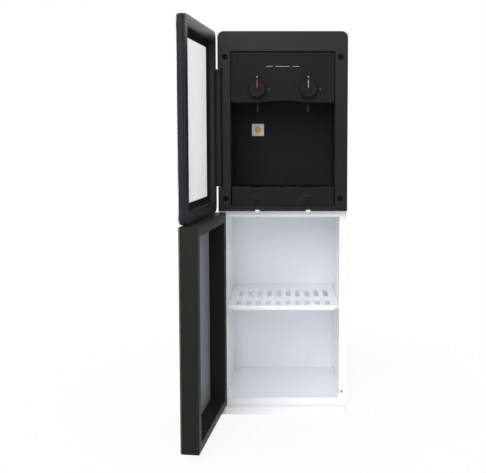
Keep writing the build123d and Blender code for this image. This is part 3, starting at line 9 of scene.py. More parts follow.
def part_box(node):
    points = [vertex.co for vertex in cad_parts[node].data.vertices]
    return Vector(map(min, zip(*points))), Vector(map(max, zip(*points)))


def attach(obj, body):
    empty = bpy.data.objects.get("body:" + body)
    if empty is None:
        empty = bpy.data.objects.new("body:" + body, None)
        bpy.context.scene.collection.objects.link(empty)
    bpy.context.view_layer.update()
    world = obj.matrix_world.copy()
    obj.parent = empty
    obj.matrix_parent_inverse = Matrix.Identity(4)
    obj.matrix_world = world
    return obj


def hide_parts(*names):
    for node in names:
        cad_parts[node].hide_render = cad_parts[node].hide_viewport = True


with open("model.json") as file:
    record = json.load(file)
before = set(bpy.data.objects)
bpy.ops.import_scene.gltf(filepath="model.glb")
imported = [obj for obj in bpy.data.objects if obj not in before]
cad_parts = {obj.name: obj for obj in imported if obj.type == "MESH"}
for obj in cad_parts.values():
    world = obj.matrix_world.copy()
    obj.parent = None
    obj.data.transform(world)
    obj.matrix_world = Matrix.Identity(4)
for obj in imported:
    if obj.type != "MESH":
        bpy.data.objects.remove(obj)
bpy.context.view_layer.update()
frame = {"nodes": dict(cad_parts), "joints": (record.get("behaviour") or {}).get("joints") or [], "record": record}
nodes = frame["nodes"]
joints = {joint["name"]: joint for joint in frame["joints"]}
mm = 0.001
print("frame loaded:", len(nodes), "nodes")


# ---- camera and lamps
camera = {
    "place": (0.01554, -2.02458, 0.68361),
    "tiltDown": 4.414,      # degrees
    "focal": 773.36,        # pixels
    "imageWidth": 486,      # pixels
    "sensor": 36.0,         # millimetres
    "shiftX": -0.09519,     # shares of the image's width
    "shiftY": -0.085,
}
lens = bpy.data.cameras.new("camera")
lens.sensor_width = camera["sensor"]
lens.lens = camera["focal"] / camera["imageWidth"] * camera["sensor"]
lens.shift_x = camera["shiftX"]
lens.shift_y = camera["shiftY"]
cameraObject = bpy.data.objects.new("camera", lens)
cameraObject.location = camera["place"]
cameraObject.rotation_euler = (math.radians(90 - camera["tiltDown"]), 0, 0)
bpy.context.scene.collection.objects.link(cameraObject)
bpy.context.scene.camera = cameraObject
bpy.context.scene.view_settings.view_transform = "Standard"

lampAim = Vector((0, 0, 0.45))      # the middle of the body
lamps = {
    "key": {"place": (-0.6, -2.3, 2.5), "size": (1.8, 1.8), "watts": 59},
    "strip": {"place": (-0.4, -2.8, 1.4), "size": (2.0, 0.6), "watts": 16},
    "low": {"place": (-0.8, -2.5, 0.35), "size": (1.0, 0.6), "watts": 5},
    "fill": {"place": (1.9, -2.0, 1.0), "size": (1.6, 1.6), "watts": 4},
    "back": {"place": (0.6, 2.4, 2.0), "size": (1.6, 1.6), "watts": 32},
}
for lampName, lamp in lamps.items():
    light = bpy.data.lights.new(lampName, "AREA")
    light.shape = "RECTANGLE"
    light.size, light.size_y = lamp["size"]
    light.energy = lamp["watts"]
    lampObject = bpy.data.objects.new(lampName, light)
    lampObject.location = lamp["place"]
    aim = lampAim - Vector(lamp["place"])
    lampObject.rotation_euler = aim.to_track_quat("-Z", "Y").to_euler()
    bpy.context.scene.collection.objects.link(lampObject)


# ---- shader nodes
def linear(*rgb):
    # a screen colour of 0 to 255 as linear light: a straight foot, then a power of 2.4
    c = np.array(rgb, float) / 255
    return tuple(np.where(c <= 0.04045, c / 12.92, ((c + 0.055) / 1.055) ** 2.4))


def shaded(colour, gain, lift=0.0):
    # a colour made lighter or darker, never past white
    return tuple(min(1.0, c * gain + lift) for c in colour)


def feed(tree, node, inputs):
    # each input is linked to another node's socket, or set to a constant
    for key, value in inputs.items():
        if isinstance(value, bpy.types.NodeSocket):
            tree.links.new(value, node.inputs[key])
        else:
            node.inputs[key].default_value = value


def makeNode(tree, kind, inputs=None, **settings):
    # a shader node with its settings made first, since some of them choose its sockets
    node = tree.nodes.new("ShaderNode" + kind)
    for key, value in settings.items():
        setattr(node, key, value)
    feed(tree, node, inputs or {})
    return node


def maths(tree, operation, *values, clamp=False):
    inputs = dict(enumerate(values))
    return makeNode(tree, "Math", inputs, operation=operation, use_clamp=clamp).outputs[0]


def noise(tree, vector, scale, detail):
    inputs = {"Vector": vector, "Scale": scale, "Detail": detail}
    return makeNode(tree, "TexNoise", inputs).outputs["Fac"]


def mapped(tree, value, low, high, toLow=0.0, toHigh=1.0, curve="LINEAR"):
    # the value's run from low to high, carried over to the run from toLow to toHigh
    inputs = {"Value": value, "From Min": low, "From Max": high, "To Min": toLow, "To Max": toHigh}
    return makeNode(tree, "MapRange", inputs, interpolation_type=curve).outputs[0]


def bumped(tree, height, normal, strength, distance):
    inputs = {"Height": height, "Normal": normal, "Strength": strength, "Distance": distance}
    return makeNode(tree, "Bump", inputs).outputs[0]


def mixColour(tree, factor, a, b):
    # a blend of two colours, each a socket or plain red, green and blue; the node's colour
    # sockets are its inputs 6 and 7 and its output 2
    a, b = [(*value, 1) if isinstance(value, tuple) else value for value in (a, b)]
    return makeNode(tree, "Mix", {0: factor, 6: a, 7: b}, data_type="RGBA").outputs[2]


def newFinish(name):
    # an empty material: itself, its tree, its shader and the place on the object
    finish = bpy.data.materials.new(name)
    finish.use_nodes = True
    tree = finish.node_tree
    spot = makeNode(tree, "TexCoord").outputs["Object"]
    return finish, tree, tree.nodes["Principled BSDF"], spot


def seenDirectly(tree):
    # 1 for rays that show the white backdrop: camera, glossy and transmission rays
    path = makeNode(tree, "LightPath")
    seen = maths(tree, "MAXIMUM", path.outputs["Is Camera Ray"], path.outputs["Is Glossy Ray"])
    return maths(tree, "MAXIMUM", seen, path.outputs["Is Transmission Ray"])


# ---- backdrop: plain white where it is seen, and a softer light on the object
worldLight = {"lit": 0.33, "seen": 1.0}
world = bpy.data.worlds.new("studio")
bpy.context.scene.world = world
world.use_nodes = True
tree = world.node_tree
spread = worldLight["seen"] - worldLight["lit"]
strength = maths(tree, "MULTIPLY_ADD", seenDirectly(tree), spread, worldLight["lit"])
feed(tree, tree.nodes["Background"], {"Color": (1, 1, 1, 1), "Strength": strength})

# floor: white too, with a share of its real shadow that fades away from the object
floorSheet = {
    "half": 5.0,
    "below": 0.2 * mm,
    "shadowShare": 0.1,
    "fadeFrom": 0.35,
    "fadeTo": 0.8,
    "colour": (0.9, 0.9, 0.9, 1),
    "rough": 0.9,
}
half, level = floorSheet["half"], -floorSheet["below"]
corners = [(-half, -half, level), (half, -half, level), (half, half, level), (-half, half, level)]
floorMesh = bpy.data.meshes.new("floor")
floorMesh.from_pydata(corners, [], [(0, 1, 2, 3)])
floor = bpy.data.objects.new("floor", floorMesh)
bpy.context.scene.collection.objects.link(floor)
floorFinish, tree, pale, spot = newFinish("floorFinish")
floorMesh.materials.append(floorFinish)
feed(tree, pale, {"Base Color": floorSheet["colour"], "Roughness": floorSheet["rough"]})
glow = makeNode(tree, "Emission", {"Color": (1, 1, 1, 1), "Strength": 1.0})
away = makeNode(tree, "VectorMath", {0: spot}, operation="LENGTH").outputs["Value"]
shadow = mapped(tree, away, floorSheet["fadeFrom"], floorSheet["fadeTo"],
                floorSheet["shadowShare"], 0.0, curve="SMOOTHSTEP")
share = maths(tree, "MULTIPLY", seenDirectly(tree), maths(tree, "SUBTRACT", 1.0, shadow))
mixed = makeNode(tree, "MixShader", {0: share, 1: pale.outputs[0], 2: glow.outputs[0]})
feed(tree, tree.nodes["Material Output"], {"Surface": mixed.outputs[0]})
print("camera, light and floor set")


# ---- shared surface effects
def newGroup(name, inputs, outputs):
    # a shader group with named sockets: itself, what it is given and what it gives
    group = bpy.data.node_groups.new(name, "ShaderNodeTree")
    for socketName, kind, value in inputs:
        kind = "NodeSocket" + kind
        socket = group.interface.new_socket(socketName, in_out="INPUT", socket_type=kind)
        if value is not None:
            socket.default_value = value
    for socketName, kind in outputs:
        kind = "NodeSocket" + kind
        group.interface.new_socket(socketName, in_out="OUTPUT", socket_type=kind)
    given = group.nodes.new("NodeGroupInput").outputs
    gives = group.nodes.new("NodeGroupOutput").inputs
    return group, given, gives


def placeGroup(tree, group, inputs):
    return makeNode(tree, "Group", inputs, node_tree=group).outputs


# moulded grain: fine noise over a coarser one for the height, and a slow drift of tone
grainLook = {"coarser": 0.31, "fineDetail": 2.0, "coarseDetail": 1.0, "driftScale": 7.0,
             "driftDetail": 3.0}
mouldGrain, given, gives = newGroup(
    "mouldGrain", [("Vector", "Vector", None), ("Scale", "Float", 1500.0)],
    [("Height", "Float"), ("Drift", "Float")])
fine = noise(mouldGrain, given["Vector"], given["Scale"], grainLook["fineDetail"])
coarseScale = maths(mouldGrain, "MULTIPLY", given["Scale"], grainLook["coarser"])
coarse = noise(mouldGrain, given["Vector"], coarseScale, grainLook["coarseDetail"])
slow = noise(mouldGrain, given["Vector"], grainLook["driftScale"], grainLook["driftDetail"])
mouldGrain.links.new(maths(mouldGrain, "ADD", fine, coarse), gives["Height"])
mouldGrain.links.new(slow, gives["Drift"])

# rounded edges: the normal of a small round on every hard edge, and a mask of where it lies
edgeLook = {"samples": 6, "maskGain": 6.0}
roundEdge, given, gives = newGroup(
    "roundEdge", [("Radius", "Float", 0.8 * mm)], [("Normal", "Vector"), ("Mask", "Float")])
bevel = makeNode(roundEdge, "Bevel", {"Radius": given["Radius"]}, samples=edgeLook["samples"])
bevelled = bevel.outputs[0]
flatNormal = makeNode(roundEdge, "NewGeometry").outputs["Normal"]
along = makeNode(roundEdge, "VectorMath", {0: bevelled, 1: flatNormal}, operation="DOT_PRODUCT")
off = maths(roundEdge, "SUBTRACT", 1.0, along.outputs["Value"])
edgeMask = maths(roundEdge, "MULTIPLY", off, edgeLook["maskGain"], clamp=True)
roundEdge.links.new(edgeMask, gives["Mask"])
roundEdge.links.new(bevelled, gives["Normal"])

# settled dust: on upward faces, broken up by noise
dustLook = {"flatFrom": 0.55, "speckScale": 60.0, "speckDetail": 6.0, "speckFrom": 0.35,
            "speckTo": 0.75}
dustFilm, given, gives = newGroup(
    "dustFilm", [("Vector", "Vector", None), ("Amount", "Float", 0.2)], [("Mask", "Float")])
facing = makeNode(dustFilm, "NewGeometry").outputs["Normal"]
upward = makeNode(dustFilm, "SeparateXYZ", {0: facing}).outputs["Z"]
flat = mapped(dustFilm, upward, dustLook["flatFrom"], 1.0)
specks = noise(dustFilm, given["Vector"], dustLook["speckScale"], dustLook["speckDetail"])
broken = mapped(dustFilm, specks, dustLook["speckFrom"], dustLook["speckTo"])
film = maths(dustFilm, "MULTIPLY", maths(dustFilm, "MULTIPLY", flat, broken), given["Amount"])
dustFilm.links.new(film, gives["Mask"])


# ---- finishes
mouldLook = {
    # painted highlight on hard edges: how much lighter the edge colour is than the plastic
    "highlightGain": 1.6,
    "highlightLift": 0.02,
    "dustColour": linear(150, 148, 144),
    "glossier": 0.9,
    "duller": 1.12,
    "grainHeight": 0.3 * mm,
    "coatRough": 0.08,
}


def moulded(name, colour, rough=0.5, grain=1500.0, depth=0.05, edge=0.7 * mm, edgeLight=0.15,
            drift=0.12, dust=0.12, specular=0.5, coat=0.0):
    # moulded plastic or rubber: fine grain, slow drift of tone and gloss, softened edges with a
    # painted highlight along them, and a trace of dust
    finish, tree, shader, spot = newFinish(name)
    grains = placeGroup(tree, mouldGrain, {"Vector": spot, "Scale": grain})
    edges = placeGroup(tree, roundEdge, {"Radius": edge})
    dusty = placeGroup(tree, dustFilm, {"Vector": spot, "Amount": dust})
    # painted highlight: hard edges drawn towards a lighter copy of the colour, as if they caught the light
    edgeHighlightColour = shaded(colour, mouldLook["highlightGain"], mouldLook["highlightLift"])
    base = mixColour(tree, grains["Drift"], shaded(colour, 1 - drift), shaded(colour, 1 + drift))
    base = mixColour(tree, maths(tree, "MULTIPLY", edges["Mask"], edgeLight), base, edgeHighlightColour)
    base = mixColour(tree, dusty["Mask"], base, mouldLook["dustColour"])
    glossy, dull = rough * mouldLook["glossier"], min(1, rough * mouldLook["duller"])
    feed(tree, shader, {
        "Base Color": base,
        "Roughness": mapped(tree, grains["Drift"], 0.0, 1.0, glossy, dull),
        "Normal": bumped(tree, grains["Height"], edges["Normal"], depth, mouldLook["grainHeight"]),
        "Specular IOR Level": specular,
        "Coat Weight": coat,
        "Coat Roughness": mouldLook["coatRough"],
    })
    return finish


metalLook = {
    "streakDetail": 3.0,
    "cloudScale": 14.0,
    "cloudDetail": 4.0,
    "cloudRange": (0.3, 0.7),
    "streakTone": 0.86,
    "highlightTone": 1.15,
    "highlightShare": 0.5,
    "edge": 0.5 * mm,
    "glossier": 0.8,
    "duller": 1.25,
    "bump": 0.04,
    "bumpHeight": 0.2 * mm,
}


def sheetMetal(name, colour, rough, brushed, lines):
    # sheet or cast metal: noise stretched along the brushing, cloudy gloss, and softened edges with
    # a painted highlight along them
    finish, tree, shader, spot = newFinish(name)
    stretched = makeNode(tree, "Mapping", {"Vector": spot, "Scale": brushed}).outputs[0]
    streaks = noise(tree, stretched, lines, metalLook["streakDetail"])
    clouds = noise(tree, spot, metalLook["cloudScale"], metalLook["cloudDetail"])
    edges = placeGroup(tree, roundEdge, {"Radius": metalLook["edge"]})
    # painted highlight: hard edges drawn lighter, as if they caught the light
    edgeHighlightMask = maths(tree, "MULTIPLY", edges["Mask"], metalLook["highlightShare"])
    base = mixColour(tree, streaks, shaded(colour, metalLook["streakTone"]), colour)
    base = mixColour(tree, edgeHighlightMask, base, shaded(colour, metalLook["highlightTone"]))
    feed(tree, shader, {
        "Base Color": base,
        "Roughness": mapped(tree, clouds, *metalLook["cloudRange"],
                            rough * metalLook["glossier"], rough * metalLook["duller"]),
        "Normal": bumped(tree, streaks, edges["Normal"], metalLook["bump"],
                         metalLook["bumpHeight"]),
        "Metallic": 1.0,
    })
    return finish


paintLook = {
    "peelScale": 700.0,
    "peelDetail": 1.5,
    "peel": 0.06,
    "peelHeight": 0.3 * mm,
    "waveScale": 9.0,
    "waveDetail": 2.0,
    "waveTone": 0.97,
    "edge": 0.8 * mm,
    "dust": 0.15,
    "dustColour": linear(176, 172, 166),
    "glossier": 0.85,
    "duller": 1.15,
    "coat": 0.2,
    "coatRough": 0.2,
}


def paintedSteel(name, colour, rough=0.35):
    # satin paint on folded sheet: orange peel of about a millimetre over a slow waviness
    finish, tree, shader, spot = newFinish(name)
    peel = noise(tree, spot, paintLook["peelScale"], paintLook["peelDetail"])
    wavy = noise(tree, spot, paintLook["waveScale"], paintLook["waveDetail"])
    edges = placeGroup(tree, roundEdge, {"Radius": paintLook["edge"]})
    dusty = placeGroup(tree, dustFilm, {"Vector": spot, "Amount": paintLook["dust"]})
    base = mixColour(tree, wavy, shaded(colour, paintLook["waveTone"]), colour)
    base = mixColour(tree, dusty["Mask"], base, paintLook["dustColour"])
    feed(tree, shader, {
        "Base Color": base,
        "Roughness": mapped(tree, wavy, 0.0, 1.0, rough * paintLook["glossier"],
                            rough * paintLook["duller"]),
        "Normal": bumped(tree, peel, edges["Normal"], paintLook["peel"],
                         paintLook["peelHeight"]),
        "Coat Weight": paintLook["coat"],
        "Coat Roughness": paintLook["coatRough"],
    })
    return finish


glassLook = {"tint": linear(254, 254, 254), "bend": 1.12, "frost": 0.004, "smearScale": 11.0,
             "smearDetail": 5.0, "smearRange": (0.4, 0.8)}


def clearGlass(name):
    # clear pane with a faint smear: lamps shine straight through, so what is behind it is lit
    finish, tree, shader, spot = newFinish(name)
    tint = (*glassLook["tint"], 1)
    smear = noise(tree, spot, glassLook["smearScale"], glassLook["smearDetail"])
    feed(tree, shader, {
        "Base Color": tint,
        "Transmission Weight": 1.0,
        "IOR": glassLook["bend"],
        "Roughness": mapped(tree, smear, *glassLook["smearRange"], 0.0, glassLook["frost"]),
    })
    through = makeNode(tree, "BsdfTransparent", {"Color": tint})
    shadowRay = makeNode(tree, "LightPath").outputs["Is Shadow Ray"]
    mixed = makeNode(tree, "MixShader", {0: shadowRay, 1: shader.outputs[0], 2: through.outputs[0]})
    feed(tree, tree.nodes["Material Output"], {"Surface": mixed.outputs[0]})
    return finish


finishes = {
    "white_steel": paintedSteel("whiteSteel", linear(243, 243, 246)),
    "grey_steel": paintedSteel("greySteel", linear(196, 198, 202), rough=0.42),
    "zinc_steel": sheetMetal("zincSteel", linear(188, 190, 194), 0.36, (1, 8, 1), 160),
    "steel": sheetMetal("platedSteel", linear(182, 182, 184), 0.3, (1, 1, 6), 260),
    "stainless": sheetMetal("stainless", linear(198, 198, 200), 0.28, (1, 1, 10), 140),
    "aluminium": sheetMetal("extrudedAluminium", linear(206, 208, 210), 0.38, (6, 1, 1), 200),
    "white_plastic": moulded("whitePlastic", linear(245, 248, 252), 0.26, grain=900, depth=0.03,
                             edge=0.35 * mm, edgeLight=0.0, drift=0.01, dust=0.03, coat=0.7),
    "black_plastic": moulded("blackPlastic", linear(22, 23, 26), 0.32, grain=1700, depth=0.06,
                             specular=0.13, dust=0.04),
    "bay_plastic": moulded("bayPlastic", linear(34, 36, 35), 0.5, depth=0.1, specular=0.03,
                           dust=0.03),
    "panel_plastic": moulded("panelPlastic", linear(25, 26, 27), 0.45, depth=0.08, specular=0.05),
    "knob_plastic": moulded("knobPlastic", linear(21, 21, 22), 0.4, specular=0.07),
    "door_plastic": moulded("doorPlastic", linear(36, 38, 43), 0.5, grain=1300, specular=0.07,
                            dust=0.02),
    "door_skin": moulded("doorSkin", linear(27, 28, 31), 0.22, grain=900, depth=0.01, coat=0.25,
                         specular=0.3),
    "door_glass": clearGlass("windowGlass"),
    "grey_plastic": moulded("greyPlastic", linear(66, 66, 69), 0.5, grain=1300, depth=0.08),
    "clear_plastic": moulded("clearPlastic", linear(205, 220, 230), 0.2, grain=700, depth=0.01,
                             drift=0.02, coat=0.4),
    "clear_silicone": moulded("clearSilicone", linear(196, 216, 226), 0.35, grain=700, depth=0.02,
                              drift=0.03),
    "pipe_silicone": moulded("pipeSilicone", linear(228, 226, 218), 0.4, grain=500, depth=0.03,
                             drift=0.04),
    "rubber": moulded("blackRubber", linear(36, 36, 38), 0.75, grain=1100, depth=0.15,
                      specular=0.3),
    "red_mark": moulded("redMark", linear(176, 56, 52), 0.4, grain=900, depth=0.02),
    "pale_mark": moulded("paleMark", linear(160, 172, 186), 0.4, grain=900, depth=0.02),
    "red_rocker": moulded("redRocker", linear(196, 40, 34), 0.3, grain=900, depth=0.02, coat=0.3),
    "green_rocker": moulded("greenRocker", linear(46, 150, 78), 0.3, grain=900, depth=0.02,
                            coat=0.3),
    "ceramic": moulded("whiteCeramic", linear(226, 226, 222), 0.5, grain=600, depth=0.04,
                       drift=0.03),
    "foam": moulded("expandedFoam", linear(232, 231, 226), 0.85, grain=260, depth=0.5,
                    drift=0.04),
    "board_green": moulded("boardGreen", linear(36, 98, 56), 0.3, grain=600, depth=0.02,
                           coat=0.4),
}
slotOf = {part["node"]: part["material_slot"] for part in frame["record"]["subparts"]}
for nodeName, node in nodes.items():
    node.data.materials.clear()
    node.data.materials.append(finishes[slotOf[nodeName]])
print("finishes made:", len(finishes))


# ---- meshes
meshing = {"mergeWithin": 1e-7, "sharpAngle": 35.0}


def addPiece(name, points, faces, finish, body):
    # points merged where they meet, faces turned outwards and smooth up to the sharp angle; the
    # piece rides on its body
    mesh = bpy.data.meshes.new(name)
    mesh.from_pydata(np.asarray(points, float).tolist(), [], faces)
    piece = bpy.data.objects.new(name, mesh)
    bpy.context.scene.collection.objects.link(piece)
    shell = bmesh.new()
    shell.from_mesh(mesh)
    bmesh.ops.remove_doubles(shell, verts=shell.verts, dist=meshing["mergeWithin"])
    bmesh.ops.recalc_face_normals(shell, faces=shell.faces)
    shell.to_mesh(mesh)
    shell.free()
    mesh.polygons.foreach_set("use_smooth", np.ones(len(mesh.polygons), bool))
    mesh.set_sharp_from_angle(angle=math.radians(meshing["sharpAngle"]))
    mesh.materials.append(finish)
    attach(piece, body)
    return piece


def ringFaces(rows, columns, closeRows=False, capStart=False, capEnd=False, first=0):
    # quads between neighbouring rings of points; each ring closes on itself
    r = np.arange(rows if closeRows else rows - 1)[:, None]
    c = np.arange(columns)[None, :]
    rNext, cNext = (r + 1) % rows, (c + 1) % columns
    quads = np.stack([r * columns + c, r * columns + cNext,
                      rNext * columns + cNext, rNext * columns + c], -1)
    faces = (quads.reshape(-1, 4) + first).tolist()
    if capStart:
        faces.append((np.arange(columns)[::-1] + first).tolist())
    if capEnd:
        faces.append((np.arange(columns) + first + (rows - 1) * columns).tolist())
    return faces


def addRings(name, rings, finish, body, slot, places=((0, 0, 0),), **ends):
    # one piece from a grid of rings of points, set down once at each place
    rows, columns = rings.shape[:2]
    points = rings.reshape(1, -1, 3) + np.array(places, float)[:, None]
    faces = []
    for i in range(len(places)):
        faces += ringFaces(rows, columns, first=i * rows * columns, **ends)
    return addPiece(name, points.reshape(-1, 3), faces, finish, body)


def roundedRect(low, high, radius, steps=8):
    # rounded rectangle: a quarter circle about each corner's centre, corner after corner, with
    # the radius kept just under half the shorter side
    low, high = np.array(low, float), np.array(high, float)
    radius = min(radius, *((high - low) / 2 * 0.999))
    turn = np.linspace(0, math.pi / 2, steps + 1)
    signs = np.array([(1, 1), (-1, 1), (-1, -1), (1, -1)])
    middle, half = (low + high) / 2, (high - low) / 2 - radius
    angles = turn[None, :] + np.arange(4)[:, None] * math.pi / 2
    corner = np.stack([np.cos(angles), np.sin(angles)], -1)
    return (middle + signs[:, None, :] * half + radius * corner).reshape(-1, 2)


def facingRing(path, depth):
    # a path of x and z, upright at one depth
    return np.column_stack([path[:, 0], np.full(len(path), depth), path[:, 1]])


def frameRings(outer, inner, outerRadius, innerRadius, loop):
    # each point of the loop is (share, depth): its ring is the rounded rectangle that lies that
    # share of the way from the outer rectangle to the inner one, at that depth
    outer, inner = np.array(outer, float), np.array(inner, float)
    rings = []
    for share, depth in loop:
        low, high = outer + (inner - outer) * share
        radius = outerRadius + (innerRadius - outerRadius) * share
        rings.append(facingRing(roundedRect(low, high, radius), depth))
    return np.array(rings)


def slabRings(outline, radius, front, back, edge, steps=8, edgeSteps=3):
    # flat slab: rings that follow the outline, drawn in along a quarter circle at each face
    low, high = np.array(outline, float)
    turn = np.linspace(0, math.pi / 2, edgeSteps + 1)
    inset = edge * (1 - np.sin(turn))
    depth = edge * (1 - np.cos(turn))
    rows = [*zip(inset, back - depth), *zip(inset[::-1], front + depth[::-1])]
    return np.array([facingRing(roundedRect(low + i, high - i, radius - i, steps), y)
                     for i, y in rows])


def lathe(profile, steps):
    # surface of revolution about Z: the profile's radius and height, carried round
    profile = np.array(profile, float)
    angle = np.linspace(0, 2 * math.pi, steps, endpoint=False)
    radius, height = profile[:, :1], profile[:, 1:]
    return np.stack([radius * np.cos(angle), radius * np.sin(angle), height + 0 * angle], -1)


def turned(profile, centre=(0, 0, 0), steps=48):
    # surface of revolution about Y, round the axis through the centre
    return lathe(profile, steps)[..., [0, 2, 1]] + np.array(centre, float)


def softened(points, radii, steps=4):
    # polyline with its corners rounded: each becomes a circle's arc, tangent to its two runs
    points = np.array(points, float)
    out = []
    for i, (corner, radius) in enumerate(zip(points, radii)):
        if radius <= 0:
            out.append(corner[None])
            continue
        toLast = points[i - 1] - corner
        toNext = points[(i + 1) % len(points)] - corner
        toLast /= np.linalg.norm(toLast)
        toNext /= np.linalg.norm(toNext)
        half = math.acos(float(np.clip(toLast @ toNext, -1, 1))) / 2
        middle = toLast + toNext
        centre = corner + middle / np.linalg.norm(middle) * radius / math.sin(half)
        start = corner + toLast * radius / math.tan(half) - centre
        end = corner + toNext * radius / math.tan(half) - centre
        t = np.linspace(0, 1, steps + 1)[:, None]
        spread = math.pi - 2 * half
        arc = (np.sin((1 - t) * spread) * start + np.sin(t * spread) * end) / math.sin(spread)
        out.append(centre + arc)
    return np.vstack(out)


def spaced(points, step):
    # closed polyline with its long runs cut into equal lengths, none longer than the step
    ends = np.roll(points, -1, 0)
    counts = np.ceil(np.linalg.norm(ends - points, axis=1) / step).astype(int)
    runs = [a + (b - a) * np.linspace(0, 1, count, endpoint=False)[:, None]
            for a, b, count in zip(points, ends, counts)]
    return np.vstack(runs)


def ease(value):
    # smooth step: three squares less two cubes, from 0 to 1
    value = np.clip(value, 0, 1)
    return value * value * (3 - 2 * value)


def boxOf(nodeName):
    # a CAD node's lowest and highest corners
    return np.array(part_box(nodeName), float)


def middleOf(nodeName):
    return boxOf(nodeName).mean(0)


# ---- the doors: worked out as if shut, then swung about the hinge line to where they stand open
openAngle = joints["upper_door_hinge"]["range_deg"][1]
hinge = Vector(joints["upper_door_hinge"]["pos_m"])
swing = (Matrix.Translation(hinge) @ Matrix.Rotation(math.radians(-openAngle), 4, "Z")
         @ Matrix.Translation(-hinge))
swingTurn = np.array(swing.to_3x3())
swingShift = np.array(swing.translation)
xz = [0, 2]


def opened(points):
    # points of a shut door, turned and shifted to the open one
    return points @ swingTurn.T + swingShift


def shutBox(nodeName):
    # a door node's lowest and highest corners with the door shut
    mesh = nodes[nodeName].data
    points = np.zeros(len(mesh.vertices) * 3)
    mesh.vertices.foreach_get("co", points)
    shut = (points.reshape(-1, 3) - swingShift) @ swingTurn
    return shut.min(0), shut.max(0)


# upper door frame: a rim with a seal lip and a groove round its outer side
upperRim = {
    "cornerRadius": 15 * mm,
    "innerCornerRadius": 6 * mm,
    "round": 1.6 * mm,
    "lip": 2.4 * mm,
    "lipRound": 0.96 * mm,
    "lipEdge": 0.3 * mm,
    "groove": 2.2 * mm,
    "grooveEdge": 0.5 * mm,
}
frameLow, frameHigh = shutBox("upper_door_frame")
trimLow, trimHigh = shutBox("window_trim")
frameOutline = (frameLow[xz], frameHigh[xz])
rimOutline = (trimLow[xz], trimHigh[xz])
rimWidth = trimLow[0] - frameLow[0]
front, back, rounding = frameLow[1], frameHigh[1], upperRim["round"]
groove, lipEnd = upperRim["groove"], back - upperRim["lip"]
section = softened(
    [(0, front), (rimWidth, front), (rimWidth, back), (0, back), (0, lipEnd), (groove, lipEnd),
     (groove, lipEnd - groove), (0, lipEnd - groove)],
    [rounding, 0, rounding, upperRim["lipRound"], upperRim["lipEdge"], 0, 0,
     upperRim["grooveEdge"]])
rings = frameRings(frameOutline, rimOutline, upperRim["cornerRadius"],
                   upperRim["innerCornerRadius"], section / (rimWidth, 1))
piece = addRings("doorFrameUpper", opened(rings), finishes["door_plastic"], "upper_door",
                 "door_plastic", closeRows=True)
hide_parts("upper_door_frame")

# sloped trim: a narrow shelf at the rim's foot, a step, and two slopes down to the glass
trim = {
    "inset": 40 * mm,
    "cornerRadius": 3 * mm,
    "shelf": 3.0 * mm,
    "step": 2.2 * mm,
    "stepDraft": 0.4 * mm,
    "kneeShare": 0.5,
    "kneeDrop": 0.5 * mm,
    "foot": 0.6 * mm,
    "rounds": (0, 0, 0.7 * mm, 0.4 * mm, 1.2 * mm, 0.3 * mm, 0),
}
windowOutline = (frameOutline[0] + trim["inset"], frameOutline[1] - trim["inset"])
trimWidth = windowOutline[0][0] - rimOutline[0][0]
bottom, top = trimLow[1], trimHigh[1]
stepEnd = top - trim["step"]
section = softened(
    [(0, bottom), (0, top), (trim["shelf"], top), (trim["shelf"] + trim["stepDraft"], stepEnd),
     (trimWidth * trim["kneeShare"], stepEnd - trim["kneeDrop"]),
     (trimWidth, bottom + trim["foot"]), (trimWidth, bottom)], trim["rounds"])
rings = frameRings(rimOutline, windowOutline, upperRim["innerCornerRadius"],
                   trim["cornerRadius"], section / (trimWidth, 1))
trimPlastic = moulded("trimPlastic", linear(22, 23, 25), 0.34, grain=1300, depth=0.03,
                      specular=0.12, dust=0.02)
piece = addRings("windowTrim", opened(rings), trimPlastic, "upper_door", "door_plastic",
                 closeRows=True)
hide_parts("window_trim")

# window: a clear pane with a black border on its inner face
window = {"cornerRadius": 14 * mm, "edge": 0.5 * mm, "border": 0.25 * mm, "borderGap": 0.02 * mm}
glassLow, glassHigh = shutBox("upper_door_glass")
glassOutline = (glassLow[xz], glassHigh[xz])
glassBack = glassHigh[1]
paneBack = glassBack - window["border"]
rings = slabRings(glassOutline, window["cornerRadius"], glassLow[1], paneBack, window["edge"])
pane = addRings("windowPane", opened(rings), finishes["door_glass"], "upper_door", "door_glass",
                capStart=True, capEnd=True)
inkFront = paneBack + window["borderGap"]
loop = [(0.0, inkFront), (0.0, glassBack), (1.0, glassBack), (1.0, inkFront)]
rings = frameRings(glassOutline, windowOutline, window["cornerRadius"], trim["cornerRadius"], loop)
borderInk = moulded("borderInk", linear(20, 20, 22), 0.3, grain=700, depth=0.0, dust=0.0,
                    edgeLight=0.0)
addRings("windowBorder", opened(rings), borderInk, "upper_door", "door_plastic", closeRows=True)
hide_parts("upper_door_glass")
print("upper door made")

# lower door: a plain rim, and a thin skin with a pale sheet on its inner face
lowerDoor = {
    "cornerRadius": 3 * mm,
    "rim": 23 * mm,
    "bottomRim": 19 * mm,
    "round": 1.4 * mm,
    "skinRound": 0.8 * mm,
    "backing": 0.4 * mm,
    "backingEdge": 0.1 * mm,
}
ringLow, ringHigh = shutBox("lower_door_frame")
rim, corner = lowerDoor["rim"], lowerDoor["cornerRadius"]
outer = (ringLow[xz], ringHigh[xz])
inner = (outer[0] + (rim, lowerDoor["bottomRim"]), outer[1] - rim)
section = roundedRect((0, ringLow[1]), (rim, ringHigh[1]), lowerDoor["round"], steps=4)
rings = frameRings(outer, inner, corner, corner, section / (rim, 1))
lowerPlastic = moulded("lowerDoorPlastic", linear(32, 32, 29), 0.45, grain=1300, specular=0.07,
                       dust=0.03)
piece = addRings("doorFrameLower", opened(rings), lowerPlastic, "lower_door", "door_plastic",
                 closeRows=True)
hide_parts("lower_door_frame")

